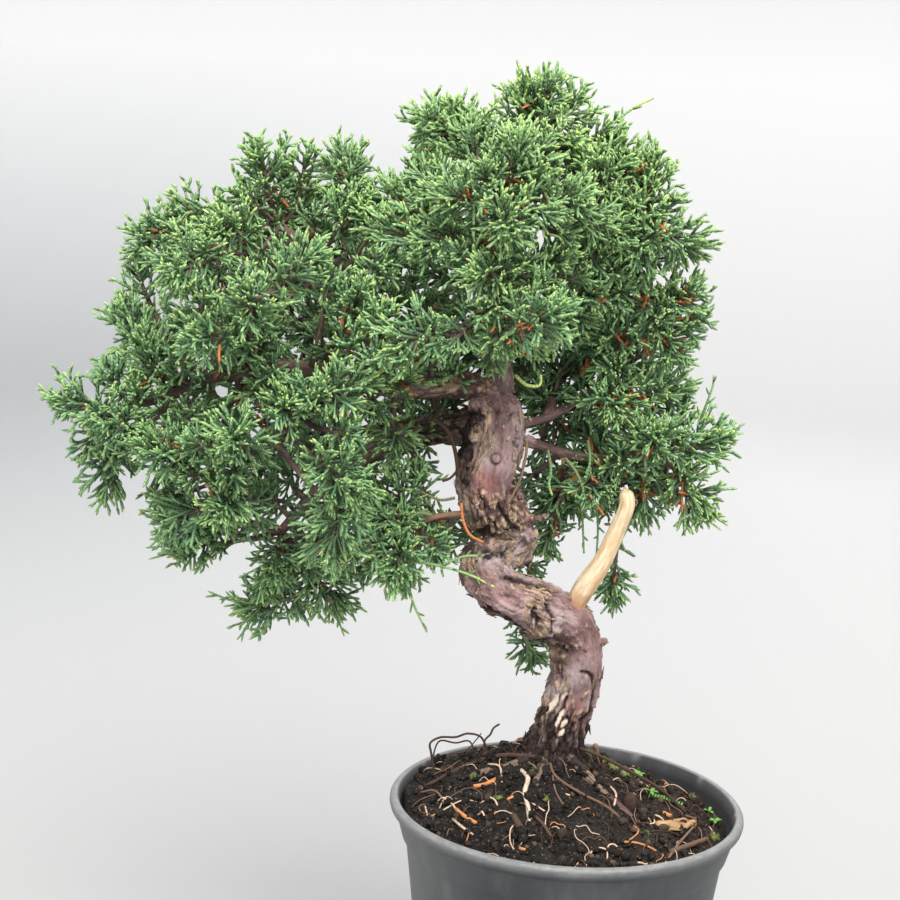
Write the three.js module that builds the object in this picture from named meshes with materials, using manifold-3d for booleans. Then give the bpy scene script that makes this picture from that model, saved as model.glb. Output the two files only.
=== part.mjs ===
// A Chinese juniper bonsai in its round plastic nursery pot.
// Millimetres, +Z up, with the origin at the centre of the pot's underside.
// The front is towards -Y, and the trunk throws its longest branch towards -X.
import * as THREE from "three";
import { mergeVertices } from "three/addons/utils/BufferGeometryUtils.js";
import Module from "manifold-3d";

const wasm = await Module();
wasm.setup();

// Pot: radii and heights of its wall, lip and underside
const POT_SIDES = 28;
const POT_HEIGHT = 110;
const WALL = 1.5;
const FOOT_RADIUS = 45;
const BODY_TOP = { radius: 56.5, z: 87 };
const BAND = { low: 58, high: 61.5, bottom: 89, top: 103 };
const LIP = { outer: 64, inner: 60.8, bottom: 104.5 };
const CENTRE_PAD = 20;
const GROOVE = { inner: 22, outer: 38, rise: 2.4 };
const DRAIN = { count: 6, radius: 3.5, circle: 30, length: 12, sides: 6 };

// Soil: a mound that falls away from the trunk, a little lower on the right
const GAP = 0.35;
const SOIL = { edge: 103, fall: 0.045, crest: 22, spread: 26, bottom: 4.6, rings: 4 };

// Trunk: [x, y, z, radius] up the centre line, from below the soil to the top bend
const TRUNK = [
  [-6, 11, 101, 9],
  [-5, 10, 116, 12.5],
  [-5, 10, 124, 11],
  [-3, 9, 131, 9.9],
  [-2, 8, 140, 9.3],
  [0, 7, 149, 9.4],
  [1, 5, 158, 8.9],
  [0, 3, 167, 9.3],
  [-4, 0, 175, 9.6],
  [-12, -4, 180, 9.2],
  [-21, -8, 185, 8.4],
  [-29, -11, 189, 8],
  [-35, -12, 194, 7.7],
  [-35, -6, 198, 7.6],
  [-29, 3, 200, 7.5],
  [-25, 8, 203, 7.6],
  [-27, 6, 209, 8.2],
  [-31, 1, 215, 9.4],
  [-35, -3, 222, 9.5],
  [-36, -4, 230, 9.8],
  [-34, -3, 238, 10.1],
  [-33, -2, 246, 9.8],
  [-35, -1, 253, 8.4],
  [-38, -1, 259, 5.2],
];
const TRUNK_BENDS = [12, 15];
const TRUNK_SIDES = 9;
const TRUNK_STEP = 7;
const KNUCKLE_SHARE = 0.9;
const FOOT_TOP = 140;

// Living limbs: centre line, then the radius where it leaves the trunk and at its end
const LIMBS = {
  left_arm: {
    radii: [5.2, 1.6],
    path: [
      [-34, -1, 256], [-43, -3, 260], [-54, -4, 260], [-67, -6, 258], [-85, -8, 261],
      [-105, -10, 264], [-127, -10, 260], [-148, -8, 251], [-164, -8, 246],
    ],
  },
  low_arm: {
    radii: [7.2, 1.6],
    path: [
      [-35, 0, 245], [-45, 8, 243], [-56, 14, 241], [-67, 16, 236], [-81, 12, 228],
      [-96, 8, 216], [-108, 8, 202],
    ],
  },
  leader: {
    radii: [5.4, 1.5],
    path: [
      [-33, 0, 256], [-33, 5, 268], [-36, 10, 280], [-37, 12, 294], [-36, 10, 308],
      [-34, 6, 322], [-30, 4, 336],
    ],
  },
  left_riser: {
    radii: [3.2, 1.3],
    path: [[-57, -3, 259], [-70, 4, 272], [-83, 8, 286], [-98, 8, 300], [-112, 8, 311]],
  },
  right_riser: {
    radii: [3.2, 1.3],
    path: [[-36, 10, 282], [-26, 12, 294], [-12, 12, 306], [1, 8, 315], [14, 4, 319]],
  },
  right_arm: {
    radii: [3.4, 1.4],
    path: [[-27, 2, 241], [-17, 8, 238], [-4, 12, 234], [12, 14, 234], [28, 14, 236]],
  },
  right_back: {
    radii: [3.2, 1.3],
    path: [[-28, 3, 246], [-15, 16, 247], [-1, 22, 255], [11, 20, 268], [19, 16, 284]],
  },
  front_neck: { radii: [2.6, 1.3], path: [[-36, 10, 280], [-35, -8, 290], [-33, -26, 297]] },
  front_crown: { radii: [2.4, 1.2], path: [[-37, 10, 304], [-39, -12, 316], [-37, -28, 325]] },
  low_front: {
    radii: [2.4, 1.2],
    path: [[-88, -8, 261], [-101, -18, 250], [-113, -22, 238], [-123, -18, 226]],
  },
  rear_left: {
    radii: [2.6, 1.3],
    path: [[-70, 4, 272], [-88, 30, 271], [-111, 42, 274], [-132, 46, 273]],
  },
  rear_neck: { radii: [2.6, 1.3], path: [[-37, 12, 289], [-42, 34, 297], [-50, 48, 307]] },
  rear_low: { radii: [2.6, 1.2], path: [[-67, 16, 236], [-79, 36, 236], [-92, 46, 229]] },
  rear_right: { radii: [2.4, 1.2], path: [[-15, 16, 247], [-10, 38, 258], [-1, 46, 276]] },
  elbow_twig: { radii: [1.6, 1], path: [[-38, -1, 214], [-51, -4, 213], [-61, -8, 210]] },
};
const LIMB_SIDES = 5;
const LIMB_STEP = 19;

// Roots that run out over the soil: [x, y] from the trunk's foot, with their radii
const ROOTS = {
  left: { radii: [2.6, 1.2], path: [[-10, 8], [-20, 2], [-32, 0], [-46, -2]] },
  front: { radii: [2.4, 0.9], path: [[-8, 2], [-12, -9], [-14, -22]] },
  right: { radii: [2.4, 0.9], path: [[0, 3], [9, -6], [20, -12], [32, -14]] },
  back: { radii: [2.6, 1.1], path: [[1, 16], [12, 24], [20, 34]] },
};
const ROOT_SIDES = 4;
const ROOT_STEP = 7;
const ROOT_LIFT = 0.4;
const ROOT_DIVE = 2.5;

// Jin: a dead branch with its bark stripped, standing up from the lower bend
const JIN = {
  radii: [3.6, 3.9, 3.4, 2.9, 2.7, 2.3],
  path: [[-3, -1, 180], [1.5, -2, 190], [6.5, -3, 199], [11, -3, 211], [14, -3, 221], [13, -2, 226]],
};
const JIN_SIDES = 8;
const JIN_STEP = 9;

// Litter on the soil: [x, y] of its middle
const BARK_CHIP = { at: [39, -10], size: [15, 6, 2.4], turn: 0.35, sunk: 0.6 };
const STICK = { from: [35, -31], to: [50, -14], radius: 1.1, raised: 0.9, sides: 6 };

// Foliage sprays, each a leafy twig of one or two tufts: [x, y, z, radius] of each tuft
const SPRAYS = {
  left_tip: [[-177, -15, 248, 13], [-159, -28, 243, 13]],
  left_low_fan: [[-167, -8, 225, 15], [-144, -32, 236, 13]],
  left_shelf: [[-161, -4, 275, 13], [-152, -12, 263, 14]],
  left_shoulder: [[-156, 2, 303, 14], [-144, 16, 313, 13]],
  left_bright: [[-137, -36, 298, 15], [-127, -16, 309, 13]],
  left_crest: [[-118, 2, 330, 13], [-106, 18, 317, 13]],
  crest_gap: [[-90, 2, 332, 12], [-86, -10, 317, 14]],
  left_face: [[-116, -42, 289, 13], [-101, -38, 301, 13]],
  left_middle: [[-129, -38, 276, 14], [-114, -24, 275, 13]],
  dense_front: [[-69, -30, 312, 14], [-56, -36, 311, 12]],
  bay_front: [[-83, -32, 288, 13]],
  star_front: [[-63, -46, 279, 15]],
  chin_front: [[-84, -42, 262, 14], [-104, -34, 253, 13]],
  low_front: [[-119, -42, 243, 14]],
  low_left: [[-139, -18, 212, 15], [-123, -28, 220, 13]],
  low_left_hem: [[-139, 0, 197, 11]],
  heart_front: [[-84, -46, 233, 15], [-86, -38, 211, 15]],
  droop: [[-114, 18, 172, 15], [-91, 10, 181, 14]],
  droop_inner: [[-109, 2, 192, 12]],
  chin_sparse: [[-65, -24, 201, 12]],
  elbow_sparse: [[-66, -8, 222, 12]],
  elbow_shade: [[-54, 32, 198, 13]],
  crown_left: [[-60, 0, 347, 13], [-47, -18, 341, 13]],
  apex: [[-26, 4, 356, 13]],
  crown_front: [[-33, -32, 338, 14], [-18, -10, 342, 13]],
  crown_right: [[-4, -6, 337, 14], [12, 6, 332, 14]],
  brow_left: [[-50, -42, 325, 13], [-60, -18, 328, 12]],
  brow_middle: [[-35, -50, 319, 13]],
  brow_right: [[-17, -40, 326, 13], [-5, -26, 319, 12]],
  fringe: [[-39, -46, 302, 12], [-20, -34, 306, 11]],
  right_tip_high: [[26, 2, 313, 14], [11, -12, 312, 14]],
  right_edge: [[28, 6, 293, 13], [13, 0, 295, 13]],
  face_front: [[-23, -52, 289, 15], [-35, -40, 282, 10]],
  shade_small: [[-5, -12, 295, 9]],
  right_upper: [[26, 8, 276, 13], [6, 8, 278, 13]],
  right_middle: [[25, 10, 259, 13], [7, 4, 256, 13]],
  right_tip: [[40, 14, 241, 15], [22, 0, 243, 14]],
  right_low: [[38, 10, 222, 14], [21, 18, 219, 13]],
  right_shade: [[2, 4, 225, 12], [-8, 26, 218, 14]],
  back_waist: [[-11, 22, 202, 10]],
  back_hang: [[14, 28, 183, 10]],
  back_fringe: [[-15, 30, 156, 9]],
  rear_left_high: [[-141, 48, 298, 16], [-116, 56, 304, 16]],
  rear_left_mid: [[-154, 40, 268, 16], [-128, 62, 264, 16]],
  rear_left_low: [[-147, 40, 232, 17], [-124, 46, 214, 17]],
  rear_heart: [[-98, 62, 282, 17], [-96, 60, 246, 17]],
  rear_crest: [[-80, 50, 314, 16], [-60, 48, 329, 16]],
  rear_crown: [[-33, 40, 341, 16], [-10, 48, 327, 16]],
  rear_right_high: [[12, 44, 310, 16], [-6, 58, 296, 16]],
  rear_middle: [[-38, 66, 302, 17], [-61, 66, 268, 16]],
  rear_right_low: [[18, 44, 262, 16], [12, 44, 234, 15]],
  rear_chin: [[-84, 50, 208, 16], [-100, 38, 190, 14]],
  rear_nape: [[-24, 54, 256, 16]],
};
// Shares are of a tuft's radius: its core's width, its stem, and the reaches and sizes tried for the core
const CORE_SHARE = 0.34;
const CORE_SIDES = 4;
const CORE_TAPER = 0.7;
const STEM_SHARE = 0.62;
const CORE_FITS = [
  [0.8, 1], [0.8, 0.85], [0.8, 0.7], [0.8, 0.55], [0.6, 0.55],
  [0.6, 0.4], [0.4, 0.4], [0.3, 0.25], [0.3, 0],
];
const CORDS_PER_TUFT = 8;
const CORD_TRIES = 12;
const CORD_RADIUS = 1.15;
const CORD_CLEAR = 0.3;
const CORE_CLEAR = 0.8;
const CORD_SPREAD = [1.4, 0.3];
const CORD_ROOTS = [-0.5, 0.45];
const STEM_RADIUS = 0.95;
const TWIG_END = 3;
const TWIG_LEAST = 5;
const TWIG_RADIUS = 1.6;
const TWIG_SHARE = 0.62;
const TWIG_SIDES = 3;
const ATTACH_STEP = 4;
const GOLDEN_TURN = Math.PI * (3 - Math.sqrt(5));

const COLOURS = {
  pot: { color: 0x57595c, roughness: 0.55, metalness: 0 },
  soil: { color: 0x2e1f18, roughness: 0.95, metalness: 0 },
  wood: { color: 0x8b6c62, roughness: 0.85, metalness: 0 },
  jin: { color: 0xefddba, roughness: 0.7, metalness: 0 },
  chip: { color: 0xb8935f, roughness: 0.9, metalness: 0 },
  leaf: { color: 0x5f8a55, roughness: 0.6, metalness: 0 },
};

// Points, seeded draws and solids
const UP_Y = new THREE.Vector3(0, 1, 0);
const vector = ([x, y, z]) => new THREE.Vector3(x, y, z);

function draw(...keys) {
  let state = 2166136261;
  for (const key of keys) {
    state = Math.imul(state ^ key, 16777619);
    state = Math.imul(state ^ (state >>> 13), 1274126177);
    state ^= state >>> 16;
  }
  return (state >>> 0) / 4294967296;
}

function bare(geometry) {
  geometry.deleteAttribute("normal");
  geometry.deleteAttribute("uv");
  return mergeVertices(geometry, 1e-4);
}

function solid(geometry) {
  const merged = bare(geometry);
  return new wasm.Manifold(
    new wasm.Mesh({
      numProp: 3,
      vertProperties: merged.attributes.position.array,
      triVerts: new Uint32Array(merged.index.array),
    }),
  );
}

function fuse(solids) {
  return solids.reduce((all, next) => all.add(next));
}

// A named mesh of the largest body of a solid, so that a loose scrap is dropped
function mesh(name, made, finish) {
  const bodies = made.decompose().sort((a, b) => b.volume() - a.volume());
  const { vertProperties, triVerts, numProp, numVert } = bodies[0].getMesh();
  const places = new Float32Array(numVert * 3);
  for (let i = 0; i < numVert; i++) {
    places.set(vertProperties.subarray(i * numProp, i * numProp + 3), i * 3);
  }
  const geometry = new THREE.BufferGeometry();
  geometry.setAttribute("position", new THREE.BufferAttribute(places, 3));
  geometry.setIndex(new THREE.BufferAttribute(new Uint32Array(triVerts), 1));
  geometry.computeVertexNormals();
  const piece = new THREE.Mesh(geometry, new THREE.MeshStandardMaterial(COLOURS[finish]));
  piece.name = name;
  return piece;
}

// Rings of a stem along a curve: the places, radii and frames at even steps
function stations(points, radii, steps) {
  const curve = new THREE.CatmullRomCurve3(points, false, "centripetal");
  const frames = curve.computeFrenetFrames(steps, false);
  return Array.from({ length: steps + 1 }, (_, i) => {
    const along = curve.getUtoTmapping(i / steps) * (radii.length - 1);
    const k = Math.min(Math.floor(along), radii.length - 2);
    return {
      at: curve.getPointAt(i / steps),
      radius: THREE.MathUtils.lerp(radii[k], radii[k + 1], along - k),
      across: frames.normals[i],
      beside: frames.binormals[i],
    };
  });
}

// A closed stem through its stations
function limb(rows, sides, relief = () => 1) {
  const steps = rows.length - 1;
  const shape = new THREE.CylinderGeometry(1, 1, 1, sides, steps);
  const position = shape.getAttribute("position");
  for (let i = 0; i < position.count; i++) {
    const [x, z] = [position.getX(i), position.getZ(i)];
    const row = rows[Math.round((position.getY(i) + 0.5) * steps)];
    const radius = row.radius * relief(Math.atan2(z, x), row.at.z);
    const place = row.at
      .clone()
      .addScaledVector(row.across, radius * x)
      .addScaledVector(row.beside, -radius * z);
    position.setXYZ(i, place.x, place.y, place.z);
  }
  return solid(shape);
}

// A solid of revolution round a straight axis, given its radius at each even step
function spindle(from, to, radii, sides) {
  const steps = radii.length - 1;
  const heading = to.clone().sub(from);
  const turn = new THREE.Quaternion().setFromUnitVectors(UP_Y, heading.clone().normalize());
  const shape = new THREE.CylinderGeometry(radii[steps] && 1, 1, heading.length(), sides, steps);
  const position = shape.getAttribute("position");
  for (let i = 0; i < position.count; i++) {
    const radius = radii[Math.round((position.getY(i) / heading.length() + 0.5) * steps)];
    const spoke = Math.hypot(position.getX(i), position.getZ(i)) || 1;
    position.setX(i, (position.getX(i) * radius) / spoke);
    position.setZ(i, (position.getZ(i) * radius) / spoke);
  }
  const middle = from.clone().lerp(to, 0.5);
  return solid(shape.applyQuaternion(turn).translate(middle.x, middle.y, middle.z));
}

function sideways(heading) {
  const reference = Math.abs(heading.z) < 0.8 ? new THREE.Vector3(0, 0, 1) : new THREE.Vector3(1, 0, 0);
  return new THREE.Vector3().crossVectors(heading, reference).normalize();
}

// Clearance between round-ended rods
function rodDistance(p, q) {
  const d1 = p.b.clone().sub(p.a);
  const d2 = q.b.clone().sub(q.a);
  const r = p.a.clone().sub(q.a);
  const a = Math.max(d1.dot(d1), 1e-9);
  const e = Math.max(d2.dot(d2), 1e-9);
  const b = d1.dot(d2);
  const c = d1.dot(r);
  const f = d2.dot(r);
  const clamp = (value) => Math.min(Math.max(value, 0), 1);
  let s = clamp((b * f - c * e) / Math.max(a * e - b * b, 1e-9));
  const t = clamp((b * s + f) / e);
  s = clamp((b * t - c) / a);
  return p.a.clone().addScaledVector(d1, s).distanceTo(q.a.clone().addScaledVector(d2, t));
}

function isClear(rod, others, extra) {
  return others.every((other) => rodDistance(rod, other) > rod.radius + other.radius + extra);
}

function rodsOf(rows) {
  return rows.slice(1).map((row, i) => {
    const radius = Math.max(rows[i].radius, row.radius);
    return { a: rows[i].at, b: row.at, radius };
  });
}

// Pot
function potProfile() {
  const inner = (radius) => radius - WALL;
  const floor = WALL + 0.3;
  return [
    [0, 0],
    [CENTRE_PAD, 0],
    [GROOVE.inner, GROOVE.rise],
    [GROOVE.outer, GROOVE.rise],
    [GROOVE.outer + 2, 0],
    [FOOT_RADIUS - 0.8, 0],
    [FOOT_RADIUS, 0.8],
    [BODY_TOP.radius, BODY_TOP.z],
    [BAND.low, BAND.bottom],
    [BAND.high, BAND.top],
    [LIP.outer - 0.4, LIP.bottom],
    [LIP.outer, LIP.bottom + 3],
    [LIP.outer - 1.4, POT_HEIGHT],
    [LIP.inner, POT_HEIGHT - 0.4],
    [inner(BAND.high), BAND.top],
    [inner(BAND.low), BAND.bottom],
    [inner(BODY_TOP.radius), BODY_TOP.z],
    [inner(FOOT_RADIUS), floor],
    [GROOVE.outer + 2, floor],
    [GROOVE.outer, GROOVE.rise + floor],
    [GROOVE.inner, GROOVE.rise + floor],
    [CENTRE_PAD, floor],
    [0, floor],
  ];
}

function turned(profile, sides) {
  const points = profile.map(([radius, z]) => new THREE.Vector2(radius, z));
  return new THREE.LatheGeometry(points, sides).rotateX(Math.PI / 2);
}

function makePot() {
  let pot = solid(turned(potProfile(), POT_SIDES));
  for (let i = 0; i < DRAIN.count; i++) {
    const angle = (2 * Math.PI * (i + 0.5)) / DRAIN.count;
    const hole = new THREE.CylinderGeometry(DRAIN.radius, DRAIN.radius, DRAIN.length, DRAIN.sides)
      .rotateX(Math.PI / 2)
      .translate(DRAIN.circle * Math.cos(angle), DRAIN.circle * Math.sin(angle), GROOVE.rise);
    pot = pot.subtract(solid(hole));
  }
  return mesh("pot", pot, "pot");
}

// Soil
function soilHeight(x, y) {
  const [stumpX, stumpY] = TRUNK[1];
  const away = (x - stumpX) ** 2 + (y - stumpY) ** 2;
  const mound = SOIL.crest * Math.exp(-away / (2 * SOIL.spread ** 2));
  const broad = 1.1 * Math.sin(0.21 * x + 1.3) * Math.sin(0.19 * y + 0.4);
  const fine = 0.6 * Math.sin(0.43 * x + 0.31 * y);
  return SOIL.edge - SOIL.fall * x + mound + broad + fine;
}

// The pot's inner radius at a height, less the gap that the soil keeps to it
function soilRadius(z) {
  const share = (z - 1) / (BODY_TOP.z - 1);
  const low = THREE.MathUtils.lerp(FOOT_RADIUS, BODY_TOP.radius, Math.min(share, 1));
  const bandShare = (z - BAND.bottom) / (BAND.top - BAND.bottom);
  const high = THREE.MathUtils.lerp(BAND.low, BAND.high, Math.min(Math.max(bandShare, 0), 1));
  return (z > BAND.bottom ? high : low) - WALL - 2 * GAP;
}

function makeSoil(rootsWithRoom) {
  const profile = [
    [0, SOIL.bottom],
    [soilRadius(SOIL.bottom) - 1, SOIL.bottom],
    [soilRadius(BODY_TOP.z), BODY_TOP.z],
    [soilRadius(BAND.bottom + 2), BAND.bottom + 2],
    [soilRadius(100), 99],
  ];
  for (let i = SOIL.rings; i >= 0; i--) profile.push([(soilRadius(100) * i) / (SOIL.rings + 0.4), 120]);
  const shape = turned(profile, POT_SIDES);
  const position = shape.getAttribute("position");
  for (let i = 0; i < position.count; i++) {
    if (position.getZ(i) > 110) {
      position.setZ(i, soilHeight(position.getX(i), position.getY(i)));
    }
  }
  return mesh("soil", solid(shape).subtract(rootsWithRoom), "soil");
}

// Trunk, limbs, roots and jin
const trunkRelief = (angle, z) =>
  1 + 0.05 * Math.sin(3 * angle + 0.09 * z) + 0.03 * Math.sin(5 * angle - 0.13 * z);

// The trunk's lengths between its two sharp bends
function trunkRows() {
  const stops = [0, ...TRUNK_BENDS, TRUNK.length - 1];
  return stops.slice(1).map((stop, i) => {
    const path = TRUNK.slice(stops[i], stop + 1);
    return limbRows({ path, radii: path.map((row) => row[3]) }, TRUNK_STEP);
  });
}

function makeTrunk(lines) {
  const knuckles = TRUNK_BENDS.map((bend) => {
    const [x, y, z, radius] = TRUNK[bend];
    return solid(new THREE.IcosahedronGeometry(KNUCKLE_SHARE * radius, 1).translate(x, y, z));
  });
  return fuse([...lines.map((rows) => limb(rows, TRUNK_SIDES, trunkRelief)), ...knuckles]);
}

function limbRows(entry, spacing) {
  const points = entry.path.map(vector);
  const length = new THREE.CatmullRomCurve3(points, false, "centripetal").getLength();
  const radii = entry.radii.length > 2 ? entry.radii : points.map((_, i) =>
    THREE.MathUtils.lerp(entry.radii[0], entry.radii[1], i / (points.length - 1)));
  return stations(points, radii, Math.max(2, Math.round(length / spacing)));
}

// A root's centre lies half sunk in the soil, and dives into it at its far end
function rootRows(entry, extra) {
  const path = entry.path.map(([x, y], i) => {
    const last = i === entry.path.length - 1;
    return [x, y, soilHeight(x, y) + (last ? -ROOT_DIVE : ROOT_LIFT)];
  });
  const radii = entry.radii.map((radius) => radius + extra);
  return limbRows({ path, radii }, ROOT_STEP);
}

function rootsAndFoot(extra) {
  const foot = trunkRows()[0].filter((row) => row.at.z < FOOT_TOP);
  const widened = foot.map((row) => ({ ...row, radius: row.radius + extra }));
  const low = { ...widened[0], at: widened[0].at.clone().setZ(widened[0].at.z - extra) };
  const roots = Object.values(ROOTS).map((entry) => limb(rootRows(entry, extra), ROOT_SIDES));
  return fuse([limb([low, ...widened.slice(1)], TRUNK_SIDES, trunkRelief), ...roots]);
}

// Foliage: where each tuft's core lies, and how large it may be
function placeTufts(woodRods) {
  const tufts = Object.entries(SPRAYS).flatMap(([spray, rows], s) =>
    rows.map((row, i) => ({ spray, key: 8 * s + i, at: vector(row), reach: row[3] })),
  );
  for (const tuft of tufts) {
    const others = tufts.filter((other) => other.spray !== tuft.spray);
    const space = Math.min(...others.map((other) => other.at.distanceTo(tuft.at))) / 2;
    const middle = { a: tuft.at, b: tuft.at };
    const wood = Math.min(...woodRods.map((rod) => rodDistance(middle, rod) - rod.radius));
    const room = Math.min(space - CORD_CLEAR, wood - CORE_CLEAR);
    tuft.core = Math.min(CORE_SHARE * tuft.reach, room);
  }
  return tufts;
}

const coreRod = (tuft) => ({ a: tuft.at, b: tuft.at, radius: tuft.core, spray: tuft.spray });

// A twig leaves the wood at the nearest place from which it reaches the spray past the other cores
function findTwig(tufts, starts, coreRods) {
  let best = null;
  for (const tuft of tufts) {
    const reach = STEM_SHARE * tuft.reach;
    for (const start of starts) {
      const steps = Math.max(1, Math.round(start.a.distanceTo(start.b) / ATTACH_STEP));
      for (let i = 0; i <= steps; i++) {
        const from = start.a.clone().lerp(start.b, i / steps);
        const span = tuft.at.distanceTo(from);
        if ((best && span >= best.span) || span < reach + TWIG_LEAST) continue;
        const towards = from.clone().sub(tuft.at).normalize();
        const low = tuft.at.clone().addScaledVector(towards, reach);
        const radius = Math.max(Math.min(TWIG_RADIUS, TWIG_SHARE * start.radius), STEM_RADIUS);
        const twig = { a: from, b: low.clone().addScaledVector(towards, GAP), radius };
        const stem = { a: tuft.at, b: low, radius: STEM_RADIUS };
        if (!isClear(twig, coreRods, CORD_CLEAR) || !isClear(stem, coreRods, CORD_CLEAR)) continue;
        best = { span, twig, stem, tuft };
      }
    }
  }
  return best;
}

// The core of a tuft is a slim spindle that grows on from the stem, and is smaller where others are near
function placeCore(tuft, low, others) {
  tuft.outward = tuft.at.clone().sub(low).normalize();
  for (const [share, size] of CORE_FITS) {
    const high = tuft.at.clone().addScaledVector(tuft.outward, share * tuft.reach);
    const rows = [0, 1, 2, 4, 6].map((i) => low.clone().lerp(high, i / 6));
    const core = Math.max(size * tuft.core, STEM_RADIUS);
    const widths = [(core + STEM_RADIUS) / 2, core, core, CORE_TAPER * core];
    tuft.rods = widths.map((radius, i) => ({ a: rows[i], b: rows[i + 1], radius, spray: tuft.spray }));
    tuft.ends = [low, high];
    if (tuft.rods.every((item) => isClear(item, others, CORD_CLEAR))) {
      tuft.core = core;
      return;
    }
  }
}

const makeCore = (tuft) =>
  spindle(...tuft.ends, [STEM_RADIUS, tuft.core, CORE_TAPER * tuft.core, 0], CORE_SIDES);

// One cord of a tuft: it leaves the core's axis and ends on the tuft's round outline
function cordPlaces(tuft, number, attempt) {
  const { outward } = tuft;
  const share = (number + 0.5) / CORDS_PER_TUFT;
  const turn = number * GOLDEN_TURN + 6.3 * draw(tuft.key, 1) + 0.8 * attempt;
  const sway = 0.25 * (draw(tuft.key, number, attempt, 4) - 0.5);
  const spread = THREE.MathUtils.lerp(...CORD_SPREAD, share) + sway;
  const side = sideways(outward).applyAxisAngle(outward, turn);
  const heading = outward.clone().applyAxisAngle(side, spread);
  const root = THREE.MathUtils.lerp(...CORD_ROOTS, share) * tuft.reach;
  const from = tuft.at.clone().addScaledVector(outward, root);
  const inwards = from.clone().sub(tuft.at);
  const limit = tuft.reach * (1.08 + 0.2 * draw(tuft.key, number, 2)) * (1 - 0.04 * attempt);
  const along = inwards.dot(heading);
  const length = -along + Math.sqrt(along * along + limit * limit - inwards.lengthSq());
  const to = from.clone().addScaledVector(heading, length);
  return { a: from, b: to, radius: CORD_RADIUS, spray: tuft.spray };
}

function findCords(tuft, others) {
  const cords = [];
  for (let number = 0; number < CORDS_PER_TUFT; number++) {
    for (let attempt = 0; attempt < CORD_TRIES; attempt++) {
      const found = cordPlaces(tuft, number, attempt);
      if (!isClear(found, others, CORD_CLEAR)) continue;
      cords.push(found);
      break;
    }
  }
  return cords;
}

// A spray: slim cores on one stem, with cords standing out of them on all sides
function makeSpray(name, tufts, taken) {
  const pieces = tufts.map(makeCore);
  for (const tuft of tufts) {
    const others = taken.filter((item) => item.spray !== name && item.tuft !== tuft);
    for (const found of findCords(tuft, others)) {
      pieces.push(spindle(found.a, found.b, [CORD_RADIUS, 0], 3));
      taken.push(found);
    }
  }
  return mesh("spray_" + name, fuse(pieces), "leaf");
}

// A straight round rod with flat ends
const rod = (from, to, radius, sides) => spindle(from, to, [radius, radius], sides);

// Litter on the soil
function makeBarkChip(extra) {
  const [x, y] = BARK_CHIP.at;
  const [long, wide, thick] = BARK_CHIP.size.map((size) => size + 2 * extra);
  const outline = new THREE.Shape();
  outline.moveTo(-long / 2, -wide / 2);
  outline.lineTo(long * 0.35, -wide / 2);
  outline.lineTo(long / 2, -wide * 0.1);
  outline.lineTo(long * 0.3, wide / 2);
  outline.lineTo(-long * 0.4, wide * 0.4);
  const shape = new THREE.ExtrudeGeometry(outline, { depth: thick, bevelEnabled: false });
  shape.rotateZ(BARK_CHIP.turn);
  return solid(shape.translate(x, y, soilHeight(x, y) - BARK_CHIP.sunk - extra));
}

function makeStick(extra) {
  const lying = ([x, y]) => vector([x, y, soilHeight(x, y) + STICK.raised]);
  const [from, to] = [STICK.from, STICK.to].map(lying);
  const reach = to.clone().sub(from).normalize().multiplyScalar(extra);
  return rod(from.sub(reach), to.add(reach), STICK.radius + extra, STICK.sides);
}

const trunkLines = trunkRows();
const limbLines = Object.values(LIMBS).map((entry) => limbRows(entry, LIMB_STEP));
const jinLine = limbRows(JIN, JIN_STEP);
const bearing = limbLines.flatMap(rodsOf);
const firm = [...trunkLines.flatMap(rodsOf), ...bearing, ...rodsOf(jinLine)];
const tufts = placeTufts(firm);
const wood = [makeTrunk(trunkLines), ...limbLines.map((rows) => limb(rows, LIMB_SIDES))];
const taken = [...firm];

const twigEnds = [];

for (const name of Object.keys(SPRAYS)) {
  const own = tufts.filter((tuft) => tuft.spray === name);
  const laid = tufts.flatMap((tuft) => (tuft.spray === name ? [] : tuft.rods ?? coreRod(tuft)));
  const { twig, stem, tuft: first } = findTwig(own, bearing, laid);
  const others = [...taken];
  for (const tuft of [first, ...own.filter((item) => item !== first)]) {
    placeCore(tuft, tuft === first ? stem.b : first.at, others.filter((item) => item.tuft !== tuft));
    taken.push(...tuft.rods);
  }
  const { a, b } = twig;
  const short = a.clone().lerp(b, Math.max(0, 1 - TWIG_END / a.distanceTo(b)));
  bearing.push({ ...twig });
  taken.push({ ...twig, tuft: first });
  twigEnds.push({ a, b: short, radius: twig.radius });
  wood.push(spindle(a, b, [twig.radius, STEM_RADIUS], TWIG_SIDES));
}
taken.push(...twigEnds);
for (const entry of Object.values(ROOTS)) wood.push(limb(rootRows(entry, 0), ROOT_SIDES));

const inSoil = fuse([rootsAndFoot(GAP), makeBarkChip(GAP), makeStick(GAP)]);
const thickTrunk = trunkLines.map((rows) => rows.map((row) => ({ ...row, radius: row.radius + GAP })));
const group = new THREE.Group();
group.add(makePot());
group.add(makeSoil(inSoil));
group.add(mesh("trunk", fuse(wood), "wood"));
group.add(mesh("jin", limb(jinLine, JIN_SIDES).subtract(makeTrunk(thickTrunk)), "jin"));
group.add(mesh("bark_chip", makeBarkChip(0), "chip"));
group.add(mesh("stick", makeStick(0), "wood"));
for (const name of Object.keys(SPRAYS)) {
  group.add(makeSpray(name, tufts.filter((tuft) => tuft.spray === name), taken));
}
export default group;
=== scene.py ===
# A Chinese juniper bonsai in its round nursery pot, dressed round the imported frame.
# Lengths are in millimetres, as in the part's own source; put() turns them into metres.
import math

import bpy
import numpy as np
from mathutils import Matrix, Vector, noise


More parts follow.
